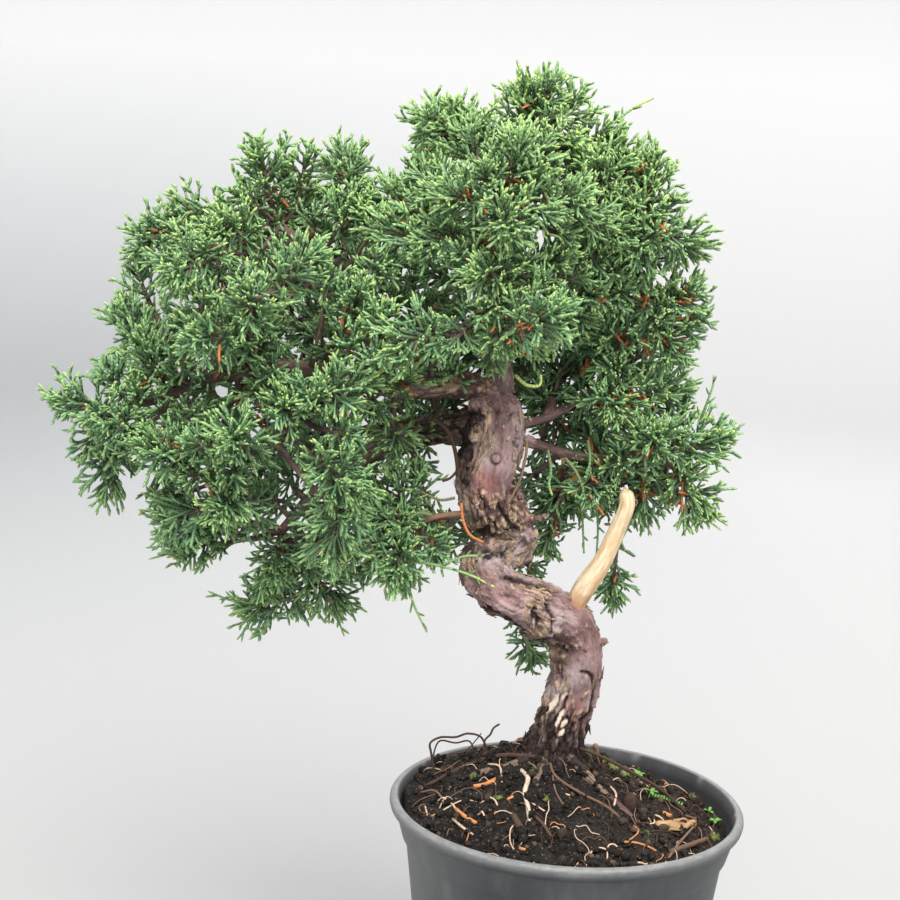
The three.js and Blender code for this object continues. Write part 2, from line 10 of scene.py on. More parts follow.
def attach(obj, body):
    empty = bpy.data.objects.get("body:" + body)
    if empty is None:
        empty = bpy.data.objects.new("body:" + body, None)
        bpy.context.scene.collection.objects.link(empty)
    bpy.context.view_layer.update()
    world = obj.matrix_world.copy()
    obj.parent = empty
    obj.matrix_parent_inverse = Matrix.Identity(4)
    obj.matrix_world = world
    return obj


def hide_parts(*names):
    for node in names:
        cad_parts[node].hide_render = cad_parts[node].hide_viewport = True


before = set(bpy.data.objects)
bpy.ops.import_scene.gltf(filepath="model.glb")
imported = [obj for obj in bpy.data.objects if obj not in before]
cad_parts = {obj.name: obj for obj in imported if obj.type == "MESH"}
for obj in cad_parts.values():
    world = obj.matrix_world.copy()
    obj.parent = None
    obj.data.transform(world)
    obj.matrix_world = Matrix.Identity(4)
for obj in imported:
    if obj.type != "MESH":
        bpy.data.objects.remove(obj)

MM = 0.001
GOLDEN_TURN = math.pi * (3 - math.sqrt(5))
GRAIN_STRETCH = 0.2
UP = np.array([0.0, 0.0, 1.0])
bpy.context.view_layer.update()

# Camera
CAMERA_PLACE = (-49, -622, 347)
CAMERA_PITCH = 10.1
CAMERA_ROLL = 3.1
CAMERA_LENS = 72
CAMERA_SENSOR = 36

# Pot
POT_SIDES = 144
POT_HEIGHT = 110
WALL = 1.5
FOOT_RADIUS = 45
BODY_TOP = {"radius": 57.4, "z": 93.5}
BAND = {"low": 59, "high": 61.5, "bottom": 95.5, "top": 104.6}
LIP = {"outer": 64, "inner": 60.8, "bottom": 106.2}
CENTRE_PAD = 20
POT_OVAL = 0.003
GROOVE = {"inner": 22, "outer": 38, "rise": 2.4}
DRAIN = {"count": 6, "radius": 3.5, "circle": 30}

# Soil
SOIL = {"edge": 103, "fall": 0.045, "crest": 22, "spread": 26, "bottom": 4.6, "heap": 3.6}
SOIL_RADIUS = 58.6
SOIL_STEP = 1.15
SOIL_SIDES = 220
# The draft height of the flat top, before the mound and the lumps shape it
SOIL_DRAFT = 120
CRUMBS = 1500
ROOTLETS = 170
# Roots and litter, listed one by one: radius, tone, and x, y and lift over the soil
SOIL_STRANDS = [
    [0.85, 1.0, [(-17, -2, -0.5), (-15, -10, 0.6), (-16, -16, 0.7), (-15, -20, 0.5), (-14, -25, -0.6)]],
    [0.55, 0.38, [(-7, 1, 0.2), (-5, -8, 0.5), (5, -12, 0.8), (13, -16, 0.5), (20, -18, -0.6)]],
    [0.35, 0.4, [(-6, -8, 0.4), (-5, -14, 0.6), (-2, -19, -0.3)]],
    [0.35, 0.95, [(-29, 2, -0.2), (-25, -2, 1.4), (-24, -7, 0)]],
    [0.75, 0.8, [(-34, -7, 0.3), (-30, -6, 0.6), (-26, -5, 0.2)]],
    [0.7, 0.8, [(-40, -18, 0.4), (-37, -23, 0.7), (-33, -28, 0.3)]],
    [0.5, 0.95, [(-41, -22, 0), (-38, -28, 0.8), (-34, -33, -0.2)]],
    [0.26, 0.95, [(-33, -14, 0), (-37, -13, 1.0), (-46, -18, 0.6), (-49, -18, -0.2)]],
    [0.26, 0.95, [(-19, -44, 0), (-21, -39, 1.2), (-21, -32, 1.0), (-20, -29, 0)]],
    [1.3, 0.2, [(-20, -24, 0.2), (-18.5, -28, 0.5), (-17, -32, 0.1)]],
    [0.3, 0.95, [(12, -42, 0), (13, -36, 1.4), (15, -36, 1.6), (17, -40, 0)]],
    [0.4, 0.75, [(18, -28, 0.2), (23, -30, 0.8), (28, -32, 0.6), (33, -34, 0)]],
    [0.5, 0.4, [(33, -36, 0), (38, -26, 1.2), (47, -2, 1.5), (43, 4, 0)]],
    [0.35, 0.75, [(23, -18, 0), (24, -24, 1.0), (20, -28, 0)]],
    [0.4, 0.35, [(32, 16, 0), (38, 26, 1.4), (39, 10, 0)]],
    [0.4, 0.95, [(15, -2, 0), (17, -8, 1.2), (16, -14, 0)]],
    [0.3, 0.95, [(-14, -19, 0.3), (-9, -23, 0.5)]],
    [0.3, 0.95, [(-3, -14, 0.3), (0, -15, 0.6)]],
    [0.6, 0.3, [(-12, -24, 0.3), (-9.5, -28, 0.8), (-7, -33, 0.2)]],
    [0.4, 0.4, [(-53, -2, 0), (-48, -6, 1.5), (-44, -13, 0)]],
    [0.35, 0.95, [(-51, -11, 0.2), (-50, -18, 0.3)]],
    [0.3, 0.95, [(31, -6, 0), (31, -12, 1.0), (29, -14, 0)]],
    [0.8, 0.12, [(-52, 4, -0.6), (-38, 6, 0.6), (-25, 5, 0.9), (-12, 3, 0.5), (-3, 2, -0.5)]],
    [0.6, 0.1, [(2, 6, 3), (13, 6, 5.0), (23, 7, 5.5), (36, 8, 4), (47, 8, -0.3)]],
    [0.9, 0.8, [(35, -3, 0.2), (38, -4, 0.6)]], [0.7, 0.8, [(43, 35, 0.2), (40, 34, 0.6)]],
    [0.6, 0.8, [(-16, -42, 0.1), (-18, -41, 0.4)]], [0.6, 0.8, [(-20, -15, 0.1), (-22, -16, 0.4)]],
    [1.1, 0.55, [(12, 22, -2), (11.5, 20, 2.5), (11, 19, 5)]],
]
# Wiry roots that arch over the soil on the left: radius, tone, and x, y, z
ARCHING_ROOTS = [
    [0.42, 0.12, [
        (-48, 12, 111), (-50, 12, 121), (-50.5, 12, 124), (-47, 12, 126.5), (-41, 12, 127),
        (-37, 12, 128.6), (-32, 12, 127.6), (-30, 12, 124), (-29, 11, 118)]],
    [0.32, 0.12, [
        (-50, 14, 111), (-49, 14, 119), (-47, 14, 124.5), (-41, 14, 124), (-36, 14, 125), (-33, 14, 117)]],
    [0.38, 0.2, [
        (-30, 10, 118), (-30.5, 10, 127), (-28.5, 10, 129.5), (-27.5, 10, 132), (-25.5, 10, 133.5)]],
    [0.22, 0.1, [(-45, 10, 116), (-43, 10, 121), (-38, 10, 122), (-34, 9, 127), (-32, 9, 130)]],
    [0.22, 0.1, [(-29, 10, 123), (-24, 10, 124.5), (-20, 9, 121), (-17, 8, 122)]],
    [0.2, 0.1, [(-26, 9, 118), (-24, 9, 127), (-21, 9, 126), (-19, 8, 119)]],
]
# Cushions of moss: x, y and radius
MOSS = [
    (-12, -6, 1.8), (-25, -14, 1.4), (-34, -2, 1.5), (-9, -17, 1.6), (27, -22, 1.2), (50, 28, 1.6),
    (53, -11, 1.8), (18, 16, 2.4), (14, 18, 2.0), (22, 14, 1.8), (9, 16, 2.2),
]
MOSS_BLADES = 26
# Small weeds: x, y, height, leaves and leaf length, and a sprig's stalk: x, y, lift and radius
SEEDLINGS = [(27, 20, 3.0, 6, 3.2), (30, 2, 2.2, 4, 3.0), (54, 1, 2.2, 5, 2.6), (53, 9, 2.0, 4, 2.4)]
SPRIG = [(30, 2, 0.6, 0.26), (35, 6, 1.8, 0.24), (44, 12, 1.2, 0.18)]
PEBBLE = {"at": (22, -10), "size": (2.6, 2.6, 4.2)}

# Trunk: x, y, z, radius up the centre line, and the two sharp bends
TRUNK = [
    [-6, 11, 101, 9], [-5, 10, 116, 12.5], [-5, 10, 124, 11], [-3, 9, 131, 9.9],
    [-2, 8, 140, 9.3], [0, 7, 149, 9.4], [1, 5, 158, 8.9], [0, 3, 167, 9.3],
    [-4, 0, 175, 9.6], [-12, -4, 180, 9.2], [-21, -8, 185, 8.4], [-29, -11, 189, 8],
    [-35, -12, 194, 7.7], [-35, -6, 198, 7.6], [-29, 3, 200, 7.5], [-25, 8, 203, 7.6],
    [-27, 6, 209, 8.2], [-31, 1, 215, 9.4], [-35, -3, 222, 9.5], [-36, -4, 230, 9.8],
    [-34, -3, 238, 10.1], [-33, -2, 246, 9.8], [-35, -1, 253, 8.4], [-38, -1, 259, 5.2],
]
TRUNK_BENDS = [12, 15]
KNUCKLE_SHARE = 0.93
VOXEL = 0.62
FLAKES = 620
GRAIN_STEP = 1.5
TRUNK_SIDES = 40
# Knobs on the trunk: a middle, a radius and a stretch each way
KNOBS = {
    "wound": [(-15.8, -10.8, 181), 3.0, (1.2, 0.7, 2.2)],
    "upper_bud": [(-33, -13, 236.4), 1.4, (1, 1, 1)],
    "side_bud": [(-26.5, -9.5, 241.9), 1.3, (1, 1, 1)],
    "left_lump": [(-41, -8, 222), 2.4, (1, 1, 1.4)],
    "neck_lump": [(-28, -6, 249), 3.2, (1, 1, 1)],
    "elbow_lump": [(-20, 2, 207), 3.0, (1.2, 1, 1)],
    "crown_lump": [(-38, -8, 254), 3.4, (1.4, 1, 1)],
    "bend_lump": [(4, 2, 173), 3.6, (1, 1, 1)],
}
# Stubs of lost twigs: start, end and radius
STUBS = [
    [(-22, 0, 213), (-14.5, -3, 214.5), 1.1],
    [(-30, -8, 249), (-28, -12, 253), 1.6],
    [(-39, -9, 246), (-41, -14, 243), 1.5],
    [(6, 0, 168), (10.5, -1, 170.5), 1.0],
    [(-34, -9, 250), (-32, -12, 254), 1.2],
]
# Smooth young bark without flakes, and the red stain: a middle, and a size each way
SMOOTH_SPOTS = [
    [(5, -2, 160), (7.5, 12, 15)], [(-1, -4, 176), (7, 10, 6)], [(-33, -10, 232), (5.5, 9, 9)],
    [(-27, -8, 243), (5, 9, 6)], [(1.5, -4, 147), (3.5, 8, 6)],
]
RED_SPOTS = [[(-36.5, -10, 227.5), (6, 9, 8.5)], [(0.5, -3, 143), (4, 7, 7)]]
# Old, darker bark in heavy shade, painted nearly black with that shade: a middle, and a size each way
DARK_SPOTS = [
    [(-52, 4, 240), (13, 22, 9)], [(-43, -2, 246), (5, 9, 4)], [(-37, -6, 202.4), (11, 8, 3.2)],
    [(-42.5, -6, 236), (3.2, 9, 14)], [(-41, -6, 250.5), (5, 9, 4)],
]
# Broken, tan bark: at the left arm's root, round the neck's foot and below the wound
ROUGH_SPOTS = [
    [(-48, -6, 261), (14, 10, 5)], [(-31, -9, 214), (12, 12, 11)], [(-4, -8, 170), (8, 9, 8)],
    [(-25, -8, 224), (5, 9, 9)],
]
# Cracks in the bark seen from the front: x and z along each, and its width
CRACKS = [
    [[
        (2.1, 159.2), (4.6, 158.8), (6.4, 156.8), (7.4, 152.7), (7.2, 147.1), (5.6, 142.8),
        (3.4, 139.6)], 0.9],
    [[(-5.2, 149.5), (-6.6, 145.5), (-9.6, 141.8), (-12.4, 139.5)], 0.9],
    [[(-2.6, 148.8), (-3.4, 144.6), (-5.8, 140.2), (-7.6, 136.5)], 0.9],
    [[(-1.0, 141.8), (-4.2, 137.4), (-4.8, 133.2)], 0.8],
    [[(0.8, 138.2), (-0.8, 133.6), (-2.2, 130.4)], 0.8],
    [[(-33.5, 184.5), (-27.5, 181.5), (-21.5, 176.2), (-15.5, 172.8)], 0.9],
    [[(-27, 195.5), (-22, 193.6), (-19, 192.2), (-14, 190.8)], 0.8],
    [[(-12.5, 186.5), (-10, 181), (-10.5, 176)], 0.7],
    [[(-37.5, 222.5), (-35, 216.5), (-31, 211)], 0.7],
    [[(-31.5, 221), (-28.5, 214.5), (-24, 210)], 0.7],
]
WOUND = {"at": (-16.2, -12, 181), "along": (-0.32, 0.0, 0.95), "half": (2.9, 6.4)}
# The knobs that are healed buds, and the radius of the mark round each
BUDS = {"upper_bud": 1.6, "side_bud": 1.4}
# Bare cream wood: a middle, and half a width and a length. Those of the foot lean with it
CREAM_SPOTS = [
    [(-7.3, -1.5, 145.6), 0.9, 4.6], [(-4.4, -1.5, 141), 0.8, 3.4], [(-2.4, -1.5, 138.6), 1.0, 1.7],
    [(-3.2, -1.5, 135), 1.1, 1.5], [(-10.4, 0, 146.2), 0.6, 2.0], [(-3.6, -1.5, 149.3), 0.6, 1.8],
    [(-36.5, -12, 224.6), 0.9, 0.9], [(-37.6, -11, 220.2), 0.9, 0.9], [(-27, -13, 185.7), 0.7, 0.7],
    [(-26.5, -12, 187.5), 0.8, 0.8], [(-15.4, -12, 183.2), 0.7, 1.3], [(-16.6, -12, 179.6), 0.5, 0.9],
]
CREAM_DEPTH = 4.0
FOOT_LEAN = 0.42
FOOT_TOP = 160

# Limbs: radius at the trunk and at the tip, and the centre line
LIMBS = {
    "left_arm": [5.2, 1.6, [
        [-34, -1, 256], [-43, -3, 260], [-54, -4, 260], [-67, -6, 258], [-85, -8, 261],
        [-105, -10, 264], [-127, -10, 260], [-148, -8, 251], [-164, -8, 246]]],
    "low_arm": [7.2, 1.6, [
        [-35, 0, 245], [-45, 8, 243], [-56, 14, 241], [-67, 16, 236], [-81, 12, 228],
        [-96, 8, 216], [-108, 8, 202]]],
    "leader": [5.4, 1.5, [
        [-33, 0, 256], [-33, 5, 268], [-36, 10, 280], [-37, 12, 294], [-36, 10, 308],
        [-34, 6, 322], [-30, 4, 336]]],
    "left_riser": [3.2, 1.3, [
        [-57, -3, 259], [-70, 4, 272], [-83, 8, 286], [-98, 8, 300], [-112, 8, 311]]],
    "right_riser": [3.2, 1.3, [
        [-36, 10, 282], [-26, 12, 294], [-12, 12, 306], [1, 8, 315], [14, 4, 319]]],
    "right_arm": [3.4, 1.4, [
        [-27, 2, 241], [-17, 8, 238], [-4, 12, 234], [12, 14, 234], [28, 14, 236]]],
    "right_back": [3.2, 1.3, [[-28, 3, 246], [-15, 16, 247], [-1, 22, 255], [11, 20, 268], [19, 16, 284]]],
    "front_neck": [2.6, 1.3, [[-36, 10, 280], [-35, -8, 290], [-33, -26, 297]]],
    "front_crown": [2.4, 1.2, [[-37, 10, 304], [-39, -12, 316], [-37, -28, 325]]],
    "low_front": [2.4, 1.2, [[-88, -8, 261], [-101, -18, 250], [-113, -22, 238], [-123, -18, 226]]],
    "rear_left": [2.6, 1.3, [[-70, 4, 272], [-88, 30, 271], [-111, 42, 274], [-132, 46, 273]]],
    "rear_neck": [2.6, 1.3, [[-37, 12, 289], [-42, 34, 297], [-50, 48, 307]]],
    "rear_low": [2.6, 1.2, [[-67, 16, 236], [-79, 36, 236], [-92, 46, 229]]],
    "rear_right": [2.4, 1.2, [[-15, 16, 247], [-10, 38, 258], [-1, 46, 276]]],
    "elbow_twig": [1.6, 1, [[-38, -1, 214], [-51, -4, 213], [-61, -8, 210]]],
}
LIMB_SHARE = {"right_arm": 0.55, "right_back": 0.5, "left_arm": 0.85, "right_riser": 0.8, "leader": 0.9}
STOUT_LIMBS = {"left_arm": 46, "low_arm": 44, "leader": 26, "right_arm": 10, "right_back": 10}

# Roots over the soil: radii and [x, y]
ROOTS = {
    "left": [2.6, 1.2, [[-10, 8], [-20, 2], [-32, 0], [-46, -2]]],
    "front": [2.4, 0.9, [[-8, 2], [-12, -9], [-14, -22]]],
    "right": [2.4, 0.9, [[0, 3], [9, -6], [20, -12], [32, -14]]],
    "back": [2.6, 1.1, [[1, 16], [12, 24], [20, 34]]],
}
ROOT_SHARE = 0.8
ROOT_DIVE = 2.5
ROOT_BLEND = 24

# Jin: the stripped dead branch
JIN = [
    [-3, -1, 180, 3.6], [1.5, -2, 190, 3.9], [6.5, -3, 199, 3.4], [11, -3, 211, 2.9],
    [14, -3, 221, 2.7], [13, -2, 226, 2.3],
]
JIN_STEP = 0.6

# Litter on the soil
BARK_CHIP = {"at": [39, -10], "size": [15, 6, 2.4], "turn": 0.35}
STICK = {"from": [35, -31], "to": [50, -14], "radius": 1.1}

# Foliage: x, y, z, reach of each tuft of a spray
SPRAYS = {
    "left_tip": [[-177, -15, 248, 13], [-159, -28, 243, 13]],
    "left_low_fan": [[-167, -8, 225, 15], [-144, -32, 236, 13]],
    "left_shelf": [[-161, -4, 275, 13], [-152, -12, 263, 14]],
    "left_shoulder": [[-156, 2, 303, 14], [-144, 16, 313, 13]],
    "left_bright": [[-137, -36, 298, 15], [-127, -16, 309, 13]],
    "left_crest": [[-118, 2, 330, 13], [-106, 18, 317, 13]],
    "crest_gap": [[-90, 2, 332, 12], [-86, -10, 317, 14]],
    "left_face": [[-116, -42, 289, 13], [-101, -38, 301, 13]],
    "left_middle": [[-129, -38, 276, 14], [-114, -24, 275, 13]],
    "dense_front": [[-69, -30, 312, 14], [-56, -36, 311, 12]],
    "bay_front": [[-83, -32, 288, 13]],
    "star_front": [[-63, -46, 279, 15]],
    "chin_front": [[-84, -42, 262, 14], [-104, -34, 253, 13]],
    "low_front": [[-119, -42, 243, 14]],
    "low_left": [[-139, -18, 212, 15], [-123, -28, 220, 13]],
    "low_left_hem": [[-139, 0, 197, 11]],
    "heart_front": [[-84, -46, 233, 15], [-86, -38, 211, 15]],
    "droop": [[-114, 18, 172, 15], [-91, 10, 181, 14]],
    "droop_inner": [[-109, 2, 192, 12]],
    "chin_sparse": [[-65, -24, 201, 12]],
    "elbow_sparse": [[-66, -8, 222, 12]],
    "elbow_shade": [[-54, 32, 198, 13]],
    "crown_left": [[-60, 0, 347, 13], [-47, -18, 341, 13]],
    "apex": [[-26, 4, 356, 13]],
    "crown_front": [[-33, -32, 338, 14], [-18, -10, 342, 13]],
    "crown_right": [[-4, -6, 337, 14], [12, 6, 332, 14]],
    "brow_left": [[-50, -42, 325, 13], [-60, -18, 328, 12]],
    "brow_middle": [[-35, -50, 319, 13]],
    "brow_right": [[-17, -40, 326, 13], [-5, -26, 319, 12]],
    "fringe": [[-39, -46, 302, 12], [-20, -34, 306, 11]],
    "right_tip_high": [[26, 2, 313, 14], [11, -12, 312, 14]],
    "right_edge": [[28, 6, 293, 13], [13, 0, 295, 13]],
    "face_front": [[-23, -52, 289, 15], [-35, -40, 282, 10]],
    "shade_small": [[-5, -12, 295, 9]],
    "right_upper": [[26, 8, 276, 13], [6, 8, 278, 13]],
    "right_middle": [[25, 10, 259, 13], [7, 4, 256, 13]],
    "right_tip": [[40, 14, 241, 15], [22, 0, 243, 14]],
    "right_low": [[38, 10, 222, 14], [21, 18, 219, 13]],
    "right_shade": [[2, 4, 225, 12], [-8, 26, 218, 14]],
    "back_waist": [[-11, 22, 202, 10]],
    "back_hang": [[14, 28, 183, 10]],
    "back_fringe": [[-15, 30, 156, 9]],
    "rear_left_high": [[-141, 48, 298, 16], [-116, 56, 304, 16]],
    "rear_left_mid": [[-154, 40, 268, 16], [-128, 62, 264, 16]],
    "rear_left_low": [[-147, 40, 232, 17], [-124, 46, 214, 17]],
    "rear_heart": [[-98, 62, 282, 17], [-96, 60, 246, 17]],
    "rear_crest": [[-80, 50, 314, 16], [-60, 48, 329, 16]],
    "rear_crown": [[-33, 40, 341, 16], [-10, 48, 327, 16]],
    "rear_right_high": [[12, 44, 310, 16], [-6, 58, 296, 16]],
    "rear_middle": [[-38, 66, 302, 17], [-61, 66, 268, 16]],
    "rear_right_low": [[18, 44, 262, 16], [12, 44, 234, 15]],
    "rear_chin": [[-84, 50, 208, 16], [-100, 38, 190, 14]],
    "rear_nape": [[-24, 54, 256, 16]],
}
SHOOTS_PER_TUFT = 21
SHOOT_SPREAD = [1.75, 0.12]
SHOOT_ROOTS = [-0.8, 0.3]
SHOOT_REACH = [0.74, 1.04]
CORD_RADIUS = 0.60
LONG_RADIUS = 0.52
LONG_SHOOTS = 7
DRY_SHOOTS = 7
TWIG_BARE = 0.3
TWIG_SPACING = 2.7
# Deeper tufts that close the crown between the front and the rear sprays: x, y, z, reach
FILLERS = [
    [-75, 14, 295, 12], [-66, 20, 291, 12], [-55, 8, 296, 12], [-71, 4, 286, 10], [-47, -4, 286, 10],
    [-42, 16, 270, 11], [-51, 24, 264, 11], [-63, 10, 270, 11], [-9, 34, 240, 13], [-3, 26, 250, 12],
    [-14, 40, 245, 12], [-19, 36, 221, 12], [-13, 30, 212, 11], [-70, 34, 243, 12], [-57, 40, 244, 12],
    [-41, 36, 200, 10], [-17, 32, 188, 9], [-132, -14, 253, 10], [-128, -12, 264, 10], [-118, -4, 208, 10],
    [-75, 0, 204, 10], [-66, 6, 193, 8], [-87, 2, 193, 10], [-150, 2, 220, 11], [-106, 12, 221, 12],
    [-103, 22, 233, 12], [-95, 30, 265, 13], [-106, 36, 249, 13], [-122, 34, 237, 13], [-142, 34, 229, 13],
    [-85, 28, 225, 12], [-31, 28, 273, 12], [-24, 38, 254, 12], [0, 36, 270, 12], [10, 34, 289, 12],
    [1, 30, 307, 12], [-12, 40, 287, 12], [-42, 30, 305, 12], [-64, 34, 314, 12], [-93, 34, 302, 12],
    [-114, 36, 289, 12], [21, 34, 234, 12], [31, 26, 221, 10], [11, 34, 222, 11], [-13, 6, 280, 12],
    [-127, 12, 259, 10], [-133, 10, 268, 10], [-89, 12, 326, 11], [-136, 8, 292, 11], [-110, 14, 281, 12],
    [-118, 12, 253, 11], [-124, 10, 305, 11], [-57, 16, 253, 12], [-48, 18, 252, 10], [-66, 16, 244, 11],
    [-16, 22, 254, 11], [2, 24, 238, 11], [-2, 26, 215, 10], [-61, 10, 230, 9],
]
# Tufts in full light on the crown's top, before the arms' roots and beside the lower bend
BRIGHT_TUFTS = [
    [-31, 2, 355, 12], [-16, 4, 355, 12], [-6, -2, 346, 12], [-58, -8, 348, 12], [-50, -4, 350, 11],
    [-23, 0, 360, 11], [4, 0, 340, 12], [16, 4, 332, 12], [-43, -10, 346, 11], [-4, -14, 335, 12],
    [11, -6, 322, 12], [-67, -14, 262, 11], [-57, -8, 268, 10], [-68, -6, 240, 11], [-77, -16, 255, 12],
    [-49, -8, 265, 8], [-62, -12, 194, 10], [-52, -13, 203, 8], [-70, -14, 213, 10], [-56, -6, 212, 8],
    [-59, -2, 225, 8], [-36, -15, 273, 10], [-24, -15, 279, 10],
]
FILLER_SHOOTS = 13
BRIGHT_SHOOTS = 17
# Tufts halfway between neighbours: how far apart those lie, and how far the new one is from any other
BRIDGE = {"span": (14, 30), "clear": 10.3, "trunk": 19, "reach": 10.5, "shoots": 12, "pieces": 4}
LONG_SPRAYS = [
    "left_low_fan", "left_shelf", "low_left", "low_left_hem", "droop", "droop_inner", "chin_sparse",
    "heart_front", "right_tip", "right_low", "right_middle", "back_hang", "back_fringe", "low_front",
]
DRY_SPRAYS = [
    "right_edge", "right_upper", "right_middle", "right_low", "right_shade", "shade_small", "face_front",
]

# Foliage on the limbs inside the crown, given painted shade: the share of each that is bare
INNER_BARE = {
    "left_arm": 0.36, "low_arm": 0.55, "leader": 0.3, "left_riser": 0.3, "right_riser": 0.25,
    "right_arm": 0.5, "right_back": 0.45, "low_front": 0.3, "rear_left": 0.3, "rear_neck": 0.4,
    "rear_low": 0.4, "rear_right": 0.4,
}
INNER_SPACING = 8.5
INNER_REACH = 10.5
INNER_SHOOTS = 8
LIMB_STEP = 3.0
TWIG_STEP = 1.2
# Single cords and stalks that stand clear of the mass: radius, age at each end, dead, and the way
GREEN_TWIGS = [
    [0.55, (0.5, 0.9), 0, [
        (-63.5, -16, 199.6), (-50.3, -18, 198.7), (-39.8, -19, 196.3), (-31.3, -20, 192.8)]],
    [0.5, (0.4, 0.8), 0, [(-61, -14, 189.2), (-57.8, -14, 181.5), (-53.6, -14, 173.8)]],
    [0.5, (0.5, 0.8), 0, [(-50.3, -18, 198.7), (-41.9, -20, 203.1), (-35.7, -21, 203.7)]],
    [0.65, (0, 0), 1, [(-44.2, -14, 220.4), (-43.2, -15, 214.6), (-40.5, -16, 209.7), (-35.9, -17, 207.7)]],
    [0.55, (0.0, 0.1), 0, [(-46.4, -8, 220.8), (-51.5, -9, 220), (-60.4, -10, 223.3), (-68.3, -10, 222.8)]],
    [0.75, (0.1, 0.9), 0, [
        (-54, -13, 215.4), (-58.9, -14, 216), (-63.1, -15, 211.8), (-63.8, -15, 204.6), (-62.2, -14, 199.2),
        (-61.4, -14, 190.3)]],
    [0.6, (0.1, 0.9), 0, [(-14.7, 0, 238.1), (-13.3, -2, 231.4), (-13.7, -3, 226.2), (-12.4, -3, 222.7)]],
    [0.6, (0.1, 0.4), 0, [
        (-8.4, 2, 235.2), (-4.8, 0, 231.5), (-1.5, -1, 224.7), (-1.8, 0, 219.1), (1.9, 2, 213.4)]],
    [0.6, (0.1, 0.7), 0, [(-0.6, 4, 241.7), (0.3, 0, 235.3), (-0.7, 0, 228.1)]],
    [0.65, (0.9, 0.95), 0, [
        (-28.1, -10, 265.3), (-23.9, -12, 262.3), (-19.5, -12, 262.6), (-19.4, -12, 266)]],
    [0.5, (0.3, 0.5), 0, [(-0.9, 8, 217.4), (0.1, 8, 208.3), (1, 8, 199.9)]],
    [0.5, (0.3, 0.5), 0, [(4.8, 10, 215.5), (5.6, 10, 208.2), (5.7, 10, 197.1)]],
    [0.55, (0, 0), 1, [(0.9, -2, 223.2), (3.6, -2, 219.8), (6.3, -2, 216.3)]],
    [0.55, (0.4, 1.0), 0, [
        (-3.9, -2, 346), (-0.3, -4, 351.2), (3.8, -5, 355.2), (8.2, -6, 358.4), (12, -6, 360.6)]],
    [0.45, (0.2, 0.6), 0, [(39.6, 14, 249.5), (41.6, 12, 257.1), (43, 12, 262.6), (43, 12, 266.2)]],
]
# Bare woody twigs: radius, tone and way
WOOD_TWIGS = [
    [0.7, 0.25, [(-45.9, -8, 230.7), (-47.3, -6, 237.4), (-50.4, -4, 243.9), (-55.9, -2, 247.5)]],
    [0.45, 0.2, [(-45.9, -8, 230.7), (-48.5, -8, 227.6), (-51, -9, 226.8)]],
    [1.1, 0.55, [(-44.3, -7, 215), (-53, -9, 213.9), (-59.8, -10, 211.2), (-67.3, -12, 210.2)]],
    [0.5, 0.55, [(-22.4, -5, 241.9), (-22.6, -6, 236.8), (-23.9, -7, 229.8), (-25.4, -8, 224.7)]],
    [0.4, 0.5, [(-23.2, -7, 235.3), (-23.6, -8, 230.2), (-26, -9, 224.2), (-27.9, -10, 219.7)]],
]

# Side cords: how far apart and from what share of the parent they leave, their angle to it, and
# their length as a share of it and at the least
SIDE_CORDS = {"spacing": 2.35, "first": 0.14, "angle": 0.72, "share": 0.40, "least": 2.7}
TIP_CORDS = {"spacing": 2.5, "first": 0.30, "angle": 0.62, "share": 0.36, "least": 1.6}
DEAD_FORKS = {"spacing": 3.5, "first": 0.3, "angle": 0.5, "share": 0.25, "least": 2.0}
LONG_SIDES = {"spacing": 4.2, "first": 0.2, "angle": 0.5, "share": 0.22, "least": 2.2}

# Stage and light: place, size, power and colour of each lamp
STAGE = {"radius": 2600, "bend": 900, "height": 2600, "floor": -0.4, "sides": 96}
LIGHT_TARGET = (-0.05, 0, 0.22)
LIGHTS = {
    "key": [(0.25, -1.3, 1.9), 2.0, 84, (1, 0.985, 0.95)],
    "side": [(-1.7, -0.7, 1.2), 1.6, 16, (1, 1, 1)],
    "rear": [(0.3, 1.5, 1.8), 1.8, 22, (1, 1, 1)],
}
SKY = {"colour": (0.97, 0.985, 1.0, 1), "strength": 1.27}

# The seed of each piece, or the first of a series
SEEDS = {
    "soil": 11, "trunk": 61, "limbs": 21, "jin": 31, "chip": 41, "litter": 51, "twigs": 71,
    "sprays": 1000, "inner": 2000, "fillers": 3000, "bridges": 4000,
}


# Shapes: points in millimetres, faces as arrays of corners, and named values for each point
def unit(rows):
    rows = np.asarray(rows, float)
    return rows / np.maximum(np.linalg.norm(rows, axis=-1, keepdims=True), 1e-9)


def lerp(low, high, share):
    return low + (high - low) * share


def smoothstep(low, high, value):
    share = np.clip((value - low) / (high - low), 0, 1)
    return share * share * (3 - 2 * share)


def turns(sides):
    """Angles evenly round a circle."""
    return np.arange(sides) * 2 * math.pi / sides


def between(one, two, angle):
    """Directions at an angle from one direction towards another that is square to it."""
    return one * np.cos(angle)[..., None] + two * np.sin(angle)[..., None]


def bands(rings, sides):
    """The quads between so many rings, and the corners at the start and end of each side."""
    ring = np.arange(rings - 1)[:, None] * sides
    side = np.arange(sides)
    after = (side + 1) % sides
    quads = np.stack([ring + side, ring + after, ring + sides + after, ring + sides + side], -1)
    return quads.reshape(-1, 4), side, after


def fan(side, after, middle):
    return np.stack([side, after, np.full(len(side), middle)], -1)


def skin(rings, sides):
    """The faces of a closed body of so many rings. The points at its two ends come last."""
    quads, side, after = bands(rings, sides)
    top = (rings - 1) * sides
    low = fan(after, side, rings * sides)
    high = fan(top + side, top + after, rings * sides + 1)
    return [quads, np.vstack([low, high])]


def shape(points, faces, **values):
    return {"points": np.asarray(points, float), "faces": [f for f in faces if len(f)], "values": values}


